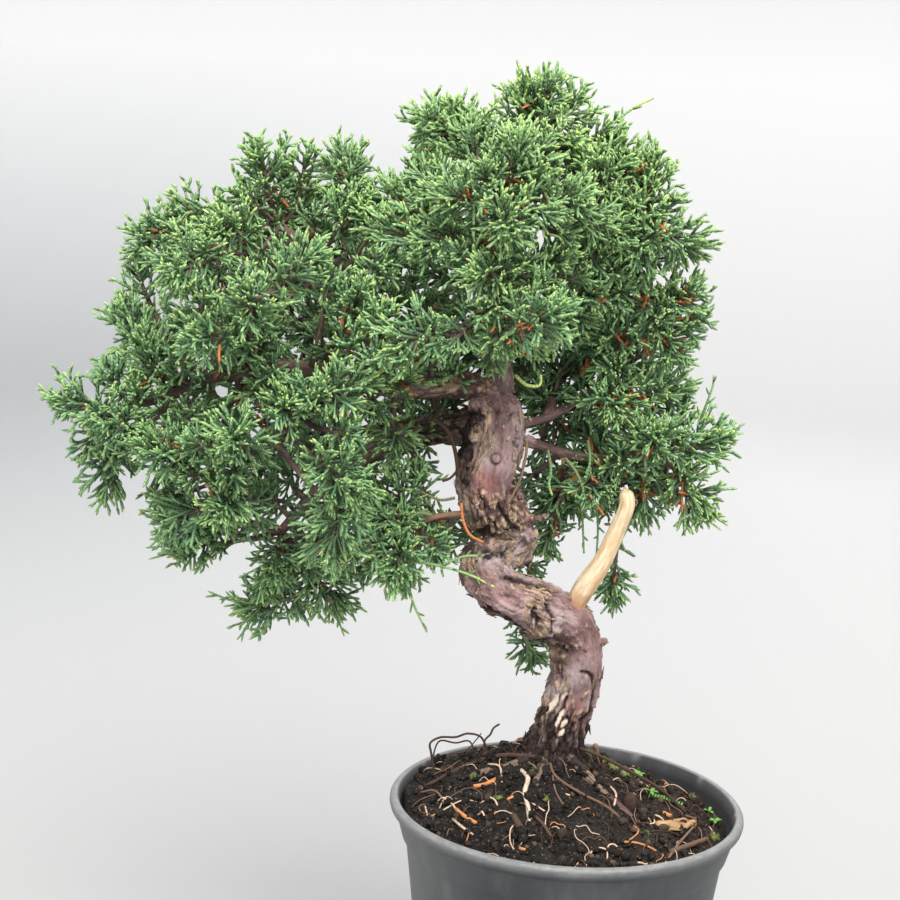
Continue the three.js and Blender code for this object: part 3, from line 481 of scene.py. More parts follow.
def join(shapes):
    """Several shapes as one. A value that one of them lacks is nought there."""
    starts = np.cumsum([0] + [len(item["points"]) for item in shapes[:-1]])
    faces = [face + start for item, start in zip(shapes, starts) for face in item["faces"]]
    widths = sorted({face.shape[1] for face in faces})
    kinds = {name: np.shape(value)[1:] for item in shapes for name, value in item["values"].items()}
    values = {}
    for name, kind in kinds.items():
        own = [item["values"].get(name, np.zeros((len(item["points"]), *kind))) for item in shapes]
        values[name] = np.concatenate(own)
    merged = [np.concatenate([face for face in faces if face.shape[1] == width]) for width in widths]
    return shape(np.concatenate([item["points"] for item in shapes]), merged, **values)


def make_mesh(name, item):
    mesh = bpy.data.meshes.new(name)
    sizes = np.concatenate([np.full(len(face), face.shape[1]) for face in item["faces"]])
    corners = np.concatenate([face.reshape(-1) for face in item["faces"]]).astype(np.int32)
    mesh.vertices.add(len(item["points"]))
    mesh.vertices.foreach_set("co", (item["points"] * MM).astype(np.float32).reshape(-1))
    mesh.loops.add(len(corners))
    mesh.loops.foreach_set("vertex_index", corners)
    mesh.polygons.add(len(sizes))
    starts = np.concatenate([[0], np.cumsum(sizes)[:-1]]).astype(np.int32)
    mesh.polygons.foreach_set("loop_start", starts)
    mesh.polygons.foreach_set("use_smooth", np.ones(len(sizes), bool))
    mesh.update(calc_edges=True)
    mesh.validate()
    store(mesh, item["values"])
    return mesh


def store(mesh, values):
    """Named values on a mesh's points: single numbers, or vectors of three."""
    for key, value in values.items():
        value = np.asarray(value, np.float32)
        kind, field = ("FLOAT", "value") if value.ndim == 1 else ("FLOAT_VECTOR", "vector")
        layer = mesh.attributes.new(key, kind, "POINT")
        layer.data.foreach_set(field, value.reshape(-1))


def add_object(name, data):
    """A mesh, lamp or camera set in the scene."""
    piece = bpy.data.objects.new(name, data)
    bpy.context.scene.collection.objects.link(piece)
    return piece


def put(name, item, finish, slot, *nodes):
    """A finished piece of the object: it rides on the root body and stands for CAD nodes."""
    mesh = item if isinstance(item, bpy.types.Mesh) else make_mesh(name, item)
    mesh.materials.clear()
    mesh.materials.append(finish)
    piece = add_object(name, mesh)
    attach(piece, "root")
    if nodes:
        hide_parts(*nodes)


def smooth_path(rows, spacing):
    """Even steps along the centripetal curve through rows of x, y, z and any further columns."""
    rows = np.asarray(rows, float)
    ends = np.vstack([2 * rows[0] - rows[1], rows, 2 * rows[-1] - rows[-2]])
    gaps = np.linalg.norm(np.diff(ends[:, :3], axis=0), axis=1) ** 0.5
    share = np.linspace(0, 1, 24, endpoint=False)[:, None]
    parts = []
    for k in range(1, len(ends) - 2):
        x0, x1, x2, x3 = ends[k - 1 : k + 3]
        d0, d1, d2 = gaps[k - 1 : k + 2]
        leave = ((x1 - x0) / d0 - (x2 - x0) / (d0 + d1) + (x2 - x1) / d1) * d1
        arrive = ((x2 - x1) / d1 - (x3 - x1) / (d1 + d2) + (x3 - x2) / d2) * d1
        bend = 3 * (x2 - x1) - 2 * leave - arrive
        twist = 2 * (x1 - x2) + leave + arrive
        parts.append(x1 + leave * share + bend * share**2 + twist * share**3)
    line = np.vstack([*parts, rows[-1:]])
    steps = np.linalg.norm(np.diff(line[:, :3], axis=0), axis=1)
    reach = np.concatenate([[0], np.cumsum(steps)])
    even = np.linspace(0, reach[-1], max(2, round(reach[-1] / spacing)) + 1)
    return np.column_stack([np.interp(even, reach, column) for column in line.T])


def with_radius(rows, radius):
    """Places of x, y, z as rows of x, y, z, radius."""
    return [[*row, radius] for row in rows]


def frames(path):
    """Directions along a path, and two across it that don't twist."""
    ahead = unit(np.gradient(path, axis=0))
    across = np.empty_like(ahead)
    last = unit(np.cross(ahead[0], UP if abs(ahead[0, 2]) < 0.8 else [1.0, 0, 0]))
    for i, direction in enumerate(ahead):
        last = unit(last - direction * last.dot(direction))
        across[i] = last
    return ahead, across, np.cross(ahead, across)


def tube(rows, sides, relief=None, **values):
    """A closed tube along rows of x, y, z, radius. The relief is a factor for each ring and side."""
    rows = np.asarray(rows, float)
    path = rows[:, :3]
    ahead, across, beside = frames(path)
    angle = turns(sides)
    radius = rows[:, 3][:, None] * np.ones(sides)
    if relief is not None:
        radius = radius * relief
    spokes = between(across[:, None], beside[:, None], angle)
    rings = path[:, None] + spokes * radius[:, :, None]
    tip = path[-1] + ahead[-1] * rows[-1, 3] * 0.5
    points = np.vstack([rings.reshape(-1, 3), path[:1], tip[None]])
    full = {key: np.full(len(points), float(value)) for key, value in values.items()}
    steps = np.linalg.norm(np.diff(path, axis=0), axis=1)
    way = GRAIN_STRETCH * np.concatenate([[0], np.cumsum(steps)]) + path[0].sum()
    around = np.stack([radius * np.cos(angle), radius * np.sin(angle), way[:, None] * np.ones(sides)], -1)
    full["grain"] = np.vstack([around.reshape(-1, 3), [[0, 0, way[0]], [0, 0, way[-1]]]])
    return shape(points, skin(len(rows), sides), **full)


def wobble(rng, count, sides, size):
    """A gentle random relief for a tube of so many rings."""
    ring = np.arange(count)[:, None]
    angle = turns(sides)
    total = np.ones((count, sides))
    for wave in (1, 2, 3, 5):
        phase = rng.uniform(0, 6.28, 2)
        pace = rng.uniform(0.15, 0.55)
        swell = np.sin(wave * angle + phase[0] + pace * ring)
        total += size / wave**0.5 * swell * np.cos(0.7 * pace * ring + phase[1])
    return total


# Materials
class Nodes:
    """A material's node tree, with a short call for each kind of node."""

    def __init__(self, name):
        self.material = bpy.data.materials.new(name)
        self.material.use_nodes = True
        self.tree = self.material.node_tree
        self.tree.nodes.clear()
        self.shader = self.add("ShaderNodeBsdfPrincipled")
        output = self.add("ShaderNodeOutputMaterial")
        self.link(self.shader.outputs[0], output.inputs[0])

    def add(self, kind, **settings):
        node = self.tree.nodes.new(kind)
        for key, value in settings.items():
            setattr(node, key, value)
        return node

    def link(self, start, end):
        self.tree.links.new(start, end)

    def feed(self, socket, value):
        if hasattr(value, "is_output"):
            self.link(value, socket)
        else:
            socket.default_value = value

    def paint(self, socket, colour):
        self.feed(socket, colour if hasattr(colour, "is_output") else (*colour, 1))

    def place(self):
        return self.add("ShaderNodeTexCoord").outputs["Object"]

    def grain(self):
        """Places on a stem: two across it, and one along it, all in millimetres."""
        return self.add("ShaderNodeAttribute", attribute_name="grain").outputs["Vector"]

    def axis(self, name):
        node = self.add("ShaderNodeSeparateXYZ")
        self.link(self.place(), node.inputs[0])
        return node.outputs[name]

    def scaled(self, scale):
        node = self.add("ShaderNodeMapping")
        self.link(self.place(), node.inputs["Vector"])
        node.inputs["Scale"].default_value = scale
        return node.outputs[0]

    def noise(self, scale, detail=3.0, rough=0.55, place=None):
        node = self.add("ShaderNodeTexNoise")
        self.link(place or self.place(), node.inputs["Vector"])
        node.inputs["Scale"].default_value = scale
        node.inputs["Detail"].default_value = detail
        node.inputs["Roughness"].default_value = rough
        return node.outputs["Fac"]

    def value(self, name):
        return self.add("ShaderNodeAttribute", attribute_name=name).outputs["Fac"]

    def spread(self, value, low, high, start=0.0, end=1.0):
        node = self.add("ShaderNodeMapRange")
        self.feed(node.inputs["Value"], value)
        node.inputs["From Min"].default_value = low
        node.inputs["From Max"].default_value = high
        node.inputs["To Min"].default_value = start
        node.inputs["To Max"].default_value = end
        return node.outputs[0]

    def math(self, kind, first, second=0.0):
        node = self.add("ShaderNodeMath", operation=kind)
        self.feed(node.inputs[0], first)
        self.feed(node.inputs[1], second)
        return node.outputs[0]

    def mix(self, share, first, second):
        node = self.add("ShaderNodeMix", data_type="RGBA")
        self.feed(node.inputs["Factor"], share)
        for name, colour in (("A", first), ("B", second)):
            self.paint([s for s in node.inputs if s.name == name and s.type == "RGBA"][0], colour)
        return [s for s in node.outputs if s.type == "RGBA"][0]

    def ramp(self, value, *stops):
        node = self.add("ShaderNodeValToRGB")
        self.feed(node.inputs[0], value)
        marks = node.color_ramp.elements
        while len(marks) < len(stops):
            marks.new(0.5)
        for mark, (place, colour) in zip(marks, stops):
            mark.position = place
            mark.color = (*colour, 1)
        return node.outputs[0]

    def bump(self, height, distance, strength):
        node = self.add("ShaderNodeBump")
        node.inputs["Strength"].default_value = strength
        node.inputs["Distance"].default_value = distance
        self.link(height, node.inputs["Height"])
        self.link(node.outputs[0], self.shader.inputs["Normal"])

    def finish(self, colour, roughness, specular):
        self.paint(self.shader.inputs["Base Color"], colour)
        self.feed(self.shader.inputs["Roughness"], roughness)
        self.shader.inputs["Specular IOR Level"].default_value = specular
        return self.material


def foliage_finish():
    n = Nodes("juniper_foliage")
    green = n.ramp(
        n.value("age"),
        (0.0, (0.180, 0.170, 0.070)),
        (0.3, (0.150, 0.262, 0.105)),
        (0.7, (0.265, 0.430, 0.155)),
        (0.86, (0.460, 0.580, 0.170)),
        (1.0, (0.740, 0.740, 0.220)),
    )
    # tone is a random blue-green tint, taken off the crown's top as painted light
    blue = n.mix(n.spread(n.value("tone"), 0, 1, 0, 0.40), green, (0.095, 0.290, 0.190))
    brown = n.mix(n.noise(900), (0.33, 0.085, 0.030), (0.66, 0.25, 0.09))
    colour = n.mix(n.value("dead"), blue, brown)
    # Painted shade: the cords towards a tuft's middle and under it are darkened
    colour = n.mix(n.math("MULTIPLY", n.value("deep"), 0.34), colour, (0.050, 0.090, 0.070))
    scales = n.math("SINE", n.math("MULTIPLY", n.value("along"), 2 * math.pi / 1.3))
    n.bump(scales, 0.00012, 0.6)
    return n.finish(colour, n.spread(scales, -1, 1, 0.42, 0.56), 0.35)


def bark_finish():
    n = Nodes("juniper_bark")
    fibre = n.noise(0.9, 5, 0.65, n.grain())
    streak = n.noise(0.32, 3, 0.55, n.grain())
    patch = n.noise(75, 4, 0.6)
    broad = n.noise(38, 3, 0.6)
    fleck = n.noise(520, 3, 0.65)
    mauve = n.mix(n.spread(patch, 0.38, 0.62), (0.150, 0.080, 0.074), (0.370, 0.232, 0.225))
    mauve = n.mix(n.spread(streak, 0.52, 0.70, 0, 0.5), mauve, (0.400, 0.320, 0.325))
    tan = n.mix(n.spread(fibre, 0.36, 0.64), (0.120, 0.070, 0.048), (0.520, 0.385, 0.260))
    tan = n.mix(n.spread(patch, 0.54, 0.70, 0, 0.6), tan, (0.235, 0.155, 0.130))
    tan = n.mix(n.spread(fleck, 0.46, 0.36, 0, 0.5), tan, (0.090, 0.050, 0.038))
    edge = n.math("ADD", n.spread(fibre, 0.3, 0.7, -0.3, 0.3), n.spread(broad, 0.36, 0.64, -0.42, 0.26))
    plate = n.spread(n.math("ADD", n.value("plate"), edge), 0.36, 0.62)
    grey = n.mix(n.spread(broad, 0.46, 0.62, 0, 0.65), mauve, (0.440, 0.380, 0.390))
    bark = n.mix(plate, grey, tan)
    bark = n.mix(n.spread(fibre, 0.50, 0.36, 0, 0.55), bark, (0.070, 0.038, 0.034))
    bark = n.mix(n.value("red"), bark, (0.360, 0.130, 0.125))
    bark = n.mix(n.spread(fleck, 0.60, 0.72, 0, 0.45), bark, (0.50, 0.40, 0.30))
    # The darkness is partly the bark's own and partly painted shade
    bark = n.mix(n.value("dark"), bark, (0.028, 0.017, 0.016))
    bark = n.mix(n.value("cream"), bark, (0.70, 0.58, 0.47))
    n.bump(n.math("ADD", fibre, n.math("MULTIPLY", fleck, 0.5)), 0.0007, 0.9)
    return n.finish(bark, n.spread(fleck, 0.3, 0.7, 0.55, 0.85), 0.25)


def jin_finish():
    n = Nodes("jin_deadwood")
    grain = n.noise(0.9, 4, 0.6, n.grain())
    stain = n.noise(0.35, 3, 0.6, n.grain())
    cream = n.mix(n.spread(grain, 0.35, 0.65), (0.540, 0.390, 0.240), (0.720, 0.610, 0.440))
    colour = n.mix(n.spread(stain, 0.47, 0.66, 0, 0.8), cream, (0.540, 0.320, 0.140))
    colour = n.mix(n.value("dark"), colour, (0.32, 0.14, 0.055))
    n.bump(grain, 0.0006, 0.7)
    return n.finish(colour, 0.62, 0.3)


def soil_finish():
    n = Nodes("potting_soil")
    fine = n.noise(900, 4, 0.7)
    broad = n.noise(60, 3, 0.6)
    peat = n.mix(n.spread(broad, 0.35, 0.65), (0.0075, 0.0070, 0.0066), (0.019, 0.0165, 0.015))
    fibre = n.mix(n.spread(fine, 0.56, 0.72), peat, (0.066, 0.055, 0.047))
    speck = n.noise(1300, 2, 0.5)
    fibre = n.mix(n.spread(speck, 0.66, 0.72, 0, 0.75), fibre, (0.300, 0.230, 0.160))
    right = n.spread(n.axis("X"), 0.0, 0.055, 0.0, 0.35)
    colour = n.mix(right, fibre, (0.040, 0.024, 0.018))
    pale = n.mix(n.value("tone"), colour, (0.30, 0.19, 0.125))
    n.bump(fine, 0.0008, 0.9)
    return n.finish(pale, 0.92, 0.12)


def root_finish():
    n = Nodes("root_and_litter")
    tone = n.value("tone")
    grain = n.noise(500, 3, 0.6)
    colour = n.ramp(
        tone,
        (0.0, (0.028, 0.017, 0.014)),
        (0.3, (0.085, 0.048, 0.036)),
        (0.55, (0.260, 0.160, 0.105)),
        (0.8, (0.560, 0.220, 0.080)),
        (1.0, (0.600, 0.490, 0.380)),
    )
    colour = n.mix(n.spread(grain, 0.35, 0.65, 0, 0.35), colour, (0.10, 0.06, 0.04))
    n.bump(grain, 0.0004, 0.7)
    return n.finish(colour, 0.8, 0.2)


def green_finish():
    n = Nodes("moss_and_seedling")
    grain = n.noise(700, 3, 0.6)
    moss = n.mix(n.spread(grain, 0.3, 0.7), (0.055, 0.070, 0.020), (0.190, 0.210, 0.060))
    colour = n.mix(n.value("tone"), moss, (0.110, 0.330, 0.060))
    n.bump(grain, 0.0004, 0.7)
    return n.finish(colour, 0.7, 0.25)


def pot_finish():
    n = Nodes("nursery_pot_plastic")
    broad = n.noise(14, 4, 0.6)
    dust = n.noise(55, 5, 0.65, n.scaled((1, 1, 0.35)))
    scuff = n.noise(260, 4, 0.6, n.scaled((1, 1, 3)))
    body = n.mix(n.spread(broad, 0.35, 0.65), (0.034, 0.037, 0.041), (0.056, 0.059, 0.064))
    body = n.mix(n.spread(dust, 0.46, 0.70, 0, 0.6), body, (0.135, 0.137, 0.139))
    # Painted reflection: the pot's left side is lighter, as the pale backdrop glances off it
    body = n.mix(n.spread(n.axis("X"), -0.030, -0.062, 0, 0.6), body, (0.120, 0.121, 0.121))
    # The lip's paleness, broken up by the scuff pattern
    pale_rim = n.math("MULTIPLY", n.value("lip"), n.spread(scuff, 0.36, 0.64, 0.6, 1.0))
    colour = n.mix(pale_rim, body, (0.200, 0.200, 0.198))
    # Painted shade inside the pot, over the soil
    colour = n.mix(n.value("inside"), colour, (0.030, 0.030, 0.033))
    n.bump(n.math("ADD", scuff, n.math("MULTIPLY", broad, 0.5)), 0.0002, 0.5)
    return n.finish(colour, n.spread(dust, 0.35, 0.7, 0.42, 0.66), 0.4)


# Pot
def pot_profile():
    """Radius and height along the pot's outside, over its rim and down its inside."""
    floor = WALL + 0.3
    body, step = BODY_TOP["radius"], BODY_TOP["z"]
    low, high, bottom, top = BAND["low"], BAND["high"], BAND["bottom"], BAND["top"]
    lip, inner, roll = LIP["outer"], LIP["inner"], LIP["bottom"]
    start, end, rise = GROOVE["inner"], GROOVE["outer"], GROOVE["rise"]
    foot = [
        [0, 0], [CENTRE_PAD - 1, 0], [CENTRE_PAD, 0], [start, rise], [end, rise], [end + 2, 0],
        [FOOT_RADIUS - 1.2, 0], [FOOT_RADIUS - 0.4, 0.3], [FOOT_RADIUS, 1.1], [FOOT_RADIUS + 0.4, 4],
    ]
    wall = [
        [body - 0.3, step - 2.5], [body, step - 0.4], [body + 0.5, step + 0.3], [low - 0.4, bottom - 0.5],
        [low + 0.1, bottom + 0.4], [high - 0.1, top - 0.6], [high + 0.3, top + 0.2],
    ]
    rim = [
        [lip - 1.2, roll - 0.7], [lip - 0.3, roll + 0.4], [lip, roll + 1.5], [lip - 0.1, roll + 2.5],
        [lip - 0.6, POT_HEIGHT - 0.6], [lip - 1.4, POT_HEIGHT], [inner + 0.7, POT_HEIGHT],
        [inner, POT_HEIGHT - 0.6],
    ]
    inside = [
        [high - WALL, top], [low - WALL, bottom], [body - WALL, step], [FOOT_RADIUS - WALL, floor + 1],
        [FOOT_RADIUS - WALL - 0.9, floor], [end + 2, floor], [end, rise + floor], [start, rise + floor],
        [CENTRE_PAD, floor], [0, floor],
    ]
    return foot + wall + rim + inside


def revolved(rows, sides):
    """Rings of points from rows of radius and height."""
    angle = turns(sides)
    ring = np.stack([np.cos(angle), np.sin(angle)], -1)
    points = np.concatenate([rows[:, None, :1] * ring[None], np.repeat(rows[:, None, 1:], sides, 1)], -1)
    return points.reshape(-1, 3)


def turned(profile, sides):
    """A closed body of revolution from a profile that starts and ends on the axis."""
    rows = np.asarray(profile, float)
    caps = [[0, 0, rows[0, 1]], [0, 0, rows[-1, 1]]]
    return shape(np.vstack([revolved(rows[1:-1], sides), caps]), skin(len(rows) - 2, sides))


def applied(piece):
    """The piece's mesh with its modifiers applied. The piece itself is removed."""
    graph = bpy.context.evaluated_depsgraph_get()
    mesh = bpy.data.meshes.new_from_object(piece.evaluated_get(graph))
    bpy.data.objects.remove(piece)
    return mesh


def make_pot():
    body = turned(pot_profile(), POT_SIDES)
    x, y, z = body["points"].T
    radius = np.hypot(x, y)
    angle = np.arctan2(y, x)
    out = 1 + POT_OVAL * np.sin(2 * angle + 0.4) * smoothstep(60, POT_HEIGHT, z)
    body["points"][:, :2] *= out[:, None]
    heights = [0, BODY_TOP["z"], BAND["top"], POT_HEIGHT]
    wall = np.interp(z, heights, [FOOT_RADIUS, BODY_TOP["radius"], BAND["high"], BAND["high"] + 0.5])
    # Paler on the rolled lip, most of all on its top edge
    pale_rim = 0.35 * smoothstep(LIP["bottom"], LIP["bottom"] + 1, z)
    pale_rim += 0.65 * smoothstep(POT_HEIGHT - 1.6, POT_HEIGHT - 0.5, z)
    body["values"]["lip"] = pale_rim * (radius > LIP["inner"])
    # Where the inside of the pot is given painted shade
    body["values"]["inside"] = (radius < wall - 1.2).astype(float) * (z < POT_HEIGHT - 1)
    pot = add_object("pot_draft", make_mesh("pot_draft", body))
    holes = []
    for k in range(DRAIN["count"]):
        turn = 2 * math.pi * (k + 0.5) / DRAIN["count"]
        x, y = DRAIN["circle"] * math.cos(turn), DRAIN["circle"] * math.sin(turn)
        holes.append(tube(with_radius([(x, y, -3), (x, y, 8)], DRAIN["radius"]), 20))
    cutter = add_object("drain_draft", make_mesh("drain_draft", join(holes)))
    cut = pot.modifiers.new("drain", "BOOLEAN")
    cut.operation = "DIFFERENCE"
    cut.solver = "EXACT"
    cut.object = cutter
    mesh = applied(pot)
    bpy.data.objects.remove(cutter)
    put("nursery_pot", mesh, pot_finish(), "pot_plastic", "pot")


# Soil
def soil_height(x, y):
    mound = SOIL["crest"] * np.exp(-((x + 5) ** 2 + (y - 10) ** 2) / (2 * SOIL["spread"] ** 2))
    mound = mound + SOIL["heap"] * np.exp(-(((x + 38) / 14) ** 2) - ((y - 8) / 13) ** 2)
    broad = 1.1 * np.sin(0.21 * x + 1.3) * np.sin(0.19 * y + 0.4)
    fine = 0.6 * np.sin(0.43 * x + 0.31 * y)
    return SOIL["edge"] - SOIL["fall"] * x + mound + broad + fine


def noise_at(points, scale, octaves):
    return np.array([noise.fractal(Vector(p) * scale, 1.0, 2.0, octaves) for p in points])


def make_soil(rng):
    radii = np.linspace(SOIL_STEP, SOIL_RADIUS, int(SOIL_RADIUS / SOIL_STEP))[::-1]
    under = [[0, SOIL["bottom"]], [42, SOIL["bottom"]], [53.5, BODY_TOP["z"]], [55.6, BAND["bottom"] + 2]]
    profile = [*under, [57.6, 99], *[[radius, SOIL_DRAFT] for radius in radii], [0, SOIL_DRAFT]]
    body = turned(profile, SOIL_SIDES)
    points = body["points"]
    top = points[:, 2] > POT_HEIGHT
    surface = points[top]
    lumps = noise_at(surface * [1, 1, 0], 0.16, 3) * 1.3 + noise_at(surface * [1, 1, 0], 0.55, 3) * 0.9
    edge = smoothstep(SOIL_RADIUS, SOIL_RADIUS - 4, np.hypot(surface[:, 0], surface[:, 1]))
    points[top, 2] = soil_height(surface[:, 0], surface[:, 1]) + lumps * edge - 1.2 * (1 - edge)
    body["values"]["tone"] = np.zeros(len(points))
    put("soil_surface", join([body, make_crumbs(rng)]), soil_finish(), "soil", "soil")


def lump(rng):
    """A small stone-like solid of three rings."""
    sides = 5
    rows = [[0, 0, share - 0.5, 0.5 * math.sin(math.pi * share) + 0.04] for share in (0.16, 0.5, 0.84)]
    return tube(rows, sides, wobble(rng, len(rows), sides, 0.16))


def scattered(rng, count, edge):
    """Places on the soil, evenly spread over its disc and clear of the trunk."""
    places = []
    while len(places) < count:
        radius = edge * math.sqrt(rng.random())
        turn = rng.uniform(0, 2 * math.pi)
        x, y = radius * math.cos(turn), radius * math.sin(turn)
        if math.hypot(x + 5, y - 10) > 9:
            places.append((x, y))
    return places


def turn_to(direction, spin):
    """A rotation that takes +Z to a direction, after a spin about +Z."""
    quaternion = Vector((0, 0, 1)).rotation_difference(Vector(direction))
    return np.array((quaternion.to_matrix() @ Matrix.Rotation(spin, 3, "Z")).to_3x3())


def make_crumbs(rng):
    kinds = [lump(rng) for _ in range(8)]
    crumbs = []
    for x, y in scattered(rng, CRUMBS, SOIL_RADIUS - 1.5):
        item = kinds[rng.integers(len(kinds))]
        size = rng.choice([1.0, 1.5, 2.2, 3.4], p=[0.45, 0.33, 0.17, 0.05]) * rng.uniform(0.8, 1.2)
        turn = turn_to(unit(rng.normal(size=3)), rng.uniform(0, 6.28))
        stretch = rng.uniform(0.6, 1.5, 3) * size
        points = (item["points"] * stretch) @ turn.T
        points += [x, y, soil_height(x, y) + 0.35 * size]
        tone = np.full(len(points), max(0.0, rng.normal(-0.05, 0.16)))
        crumbs.append(shape(points, item["faces"], tone=tone))
    return join(crumbs)


def ground(x, y, lift):
    return [x, y, float(soil_height(x, y)) + lift]


def strand(rng, rows, tone, sides, spacing, size=0.08):
    """A root, twig or stalk through given rows of x, y, z, radius."""
    path = smooth_path(rows, spacing)
    return tube(path, sides, wobble(rng, len(path), sides, size), tone=tone)


def make_moss(rng):
    """Little cushions of moss, each a mound set with short blades."""
    parts = []
    for x, y, size in MOSS:
        at = ground(x, y, 0.1 * size)
        mound = ball(at, size, (1, 1, 0.6), 6, 10)
        mound["points"] += rng.normal(0, 0.12 * size, mound["points"].shape)
        parts.append(mound)
        for _ in range(MOSS_BLADES):
            out = unit(rng.normal(size=3) + 0.8 * UP)
            foot = np.array(at) + out * [1, 1, 0.6] * size * 0.85
            tip = foot + unit(out + rng.normal(0, 0.4, 3)) * rng.uniform(0.7, 1.3)
            parts.append(tube([[*foot, 0.2], [*tip, 0.07]], 3, tone=rng.uniform(0, 0.5)))
    return parts


def blade(start, end, width, lift, tone):
    """A small folded leaf from its foot to its tip."""
    start, end = np.array(start, float), np.array(end, float)
    across = unit(np.cross(end - start, UP)) * width / 2
    rows = []
    for share, breadth in ((0, 0.25), (0.3, 0.9), (0.6, 1.0), (0.85, 0.6), (1, 0.08)):
        middle = start + (end - start) * share + UP * lift * math.sin(math.pi * share)
        for side, drop in ((-1, 0.12), (0, 0), (1, 0.12)):
            rows.append(middle + across * side * breadth + UP * drop * width)
    top = np.array(rows)
    count = len(top)
    points = np.vstack([top, top - UP * 0.14])
    faces = []
    for r in range(4):
        for c in range(2):
            k = 3 * r + c
            faces.append([k, k + 1, k + 4, k + 3])
            faces.append([count + k + 3, count + k + 4, count + k + 1, count + k])
    border = [0, 1, 2, 5, 8, 11, 14, 13, 12, 9, 6, 3]
    for a, b in zip(border, border[1:] + border[:1]):
        faces.append([b, a, count + a, count + b])
    return shape(points, [np.array(faces)], tone=np.full(len(points), tone))


def make_weeds(rng):
    """A seedling and three small weeds, and a sprig with leaves to the left and right in turn."""
    parts = []
    for x, y, height, leaves, size in SEEDLINGS:
        foot = ground(x, y, -0.4)
        top = [x + 0.6, y - 0.4, foot[2] + 0.4 + height]
        parts.append(tube(smooth_path([[*foot, 0.32], [*top, 0.26]], 0.8), 6, tone=0.8))
        for k in range(leaves):
            turn = GOLDEN_TURN * k + x
            end = np.array(top) + [size * math.cos(turn), size * math.sin(turn), rng.uniform(0.2, 1.6)]
            parts.append(blade(top, end, 0.45 * size, 0.5, rng.uniform(0.75, 1.0)))
    stalk = smooth_path([[*ground(x, y, lift), radius] for x, y, lift, radius in SPRIG], 0.8)
    parts.append(tube(stalk, 5, tone=0.9))
    for k in range(2, len(stalk) - 1):
        side = 1 if k % 2 else -1
        end = stalk[k, :3] + [0.9, -1.4 * side, 0.5]
        parts.append(blade(stalk[k, :3], end, 0.7, 0.2, 0.9))
    return parts


def hand_roots(rng):
    """The roots and bits that have a place of their own, and the pebble."""
    strands = []
    for radius, tone, rows in SOIL_STRANDS:
        places = [ground(*row) for row in rows]
        strands.append(strand(rng, with_radius(places, radius), tone, 7, 1.0, 0.1))
    for radius, tone, rows in ARCHING_ROOTS:
        strands.append(strand(rng, with_radius(rows, radius), tone, 7, 1.2, 0.1))
    pebble = ball((0, 0, 0), 1, PEBBLE["size"])
    pebble["points"] += ground(*PEBBLE["at"], 1.4)
    return [*strands, pebble]


def make_rootlets(rng):
    strands = hand_roots(rng)
    for x, y in scattered(rng, ROOTLETS, SOIL_RADIUS - 5):
        heading = rng.uniform(0, 2 * math.pi)
        count = rng.integers(4, 8)
        step = rng.uniform(1.6, 3.6)
        radius = rng.choice([0.16, 0.22, 0.36], p=[0.55, 0.35, 0.10])
        rows = []
        for k in range(count):
            heading += rng.normal(0, 0.55)
            x, y = x + step * math.cos(heading), y + step * math.sin(heading)
            if math.hypot(x, y) > SOIL_RADIUS - 2:
                break
            arch = math.sin(math.pi * k / (count - 1)) * rng.uniform(0.3, 2.2)
            rows.append([*ground(x, y, arch), radius])
        if len(rows) > 2:
            rows[0][2] -= 1.2
            rows[-1][2] -= 0.8
            tone = rng.choice([0.15, 0.35, 0.5, 0.75, 0.95], p=[0.22, 0.22, 0.16, 0.10, 0.30])
            strands.append(strand(rng, rows, tone, 5, 0.9))
    return strands


# Trunk
def ball(at, radius, stretch=(1, 1, 1), rings=10, sides=18):
    share = np.linspace(0.04, 0.96, rings)
    level = np.zeros(rings)
    rows = np.column_stack([level, level, -np.cos(math.pi * share), np.sin(math.pi * share)])
    item = tube(rows, sides)
    item["points"] = item["points"] * radius * np.asarray(stretch) + at
    return item


def cut_path(rows, length):
    """The first stretch of a path, of a given length."""
    reach = np.concatenate([[0], np.cumsum(np.linalg.norm(np.diff(rows[:, :3], axis=0), axis=1))])
    return rows[reach <= length]


def limb_rows(name, spacing):
    start, end, path = LIMBS[name]
    radii = np.linspace(start * LIMB_SHARE.get(name, 1), end, len(path))
    return smooth_path(np.column_stack([path, radii]), spacing)


def trunk_pieces():
    """The overlapping solids that one skin is made over."""
    stops = [0, *TRUNK_BENDS, len(TRUNK) - 1]
    angle = turns(TRUNK_SIDES)
    pieces = []
    for low, high in zip(stops, stops[1:]):
        rows = smooth_path(TRUNK[low : high + 1], GRAIN_STEP)
        z = rows[:, 2][:, None]
        relief = 1 + 0.05 * np.sin(3 * angle + 0.09 * z) + 0.03 * np.sin(5 * angle - 0.13 * z)
        pieces.append(tube(rows, TRUNK_SIDES, relief))
    for bend in TRUNK_BENDS:
        x, y, z, radius = TRUNK[bend]
        pieces.append(ball((x, y, z), radius * KNUCKLE_SHARE))
    pieces += [tube(rows, 20) for rows in stout_limbs()]
    pieces += [tube(rows, 14) for rows in stout_roots()]
    pieces += [ball(at, radius, stretch) for at, radius, stretch in KNOBS.values()]
    for start, end, radius in STUBS:
        pieces.append(tube([[*start, radius], [*end, radius * 0.85]], 12))
    return pieces


def root_rows(name):
    start, end, path = ROOTS[name]
    last = len(path) - 1
    rows = []
    for k, (x, y) in enumerate(path):
        lift = -ROOT_DIVE if k == last else -0.35
        rows.append([*ground(x, y, lift), ROOT_SHARE * lerp(start, end, k / last)])
    return smooth_path(rows, GRAIN_STEP)


def stout_limbs():
    return [cut_path(limb_rows(name, GRAIN_STEP), length) for name, length in STOUT_LIMBS.items()]


def stout_roots():
    return [cut_path(root_rows(name), ROOT_BLEND) for name in ROOTS]


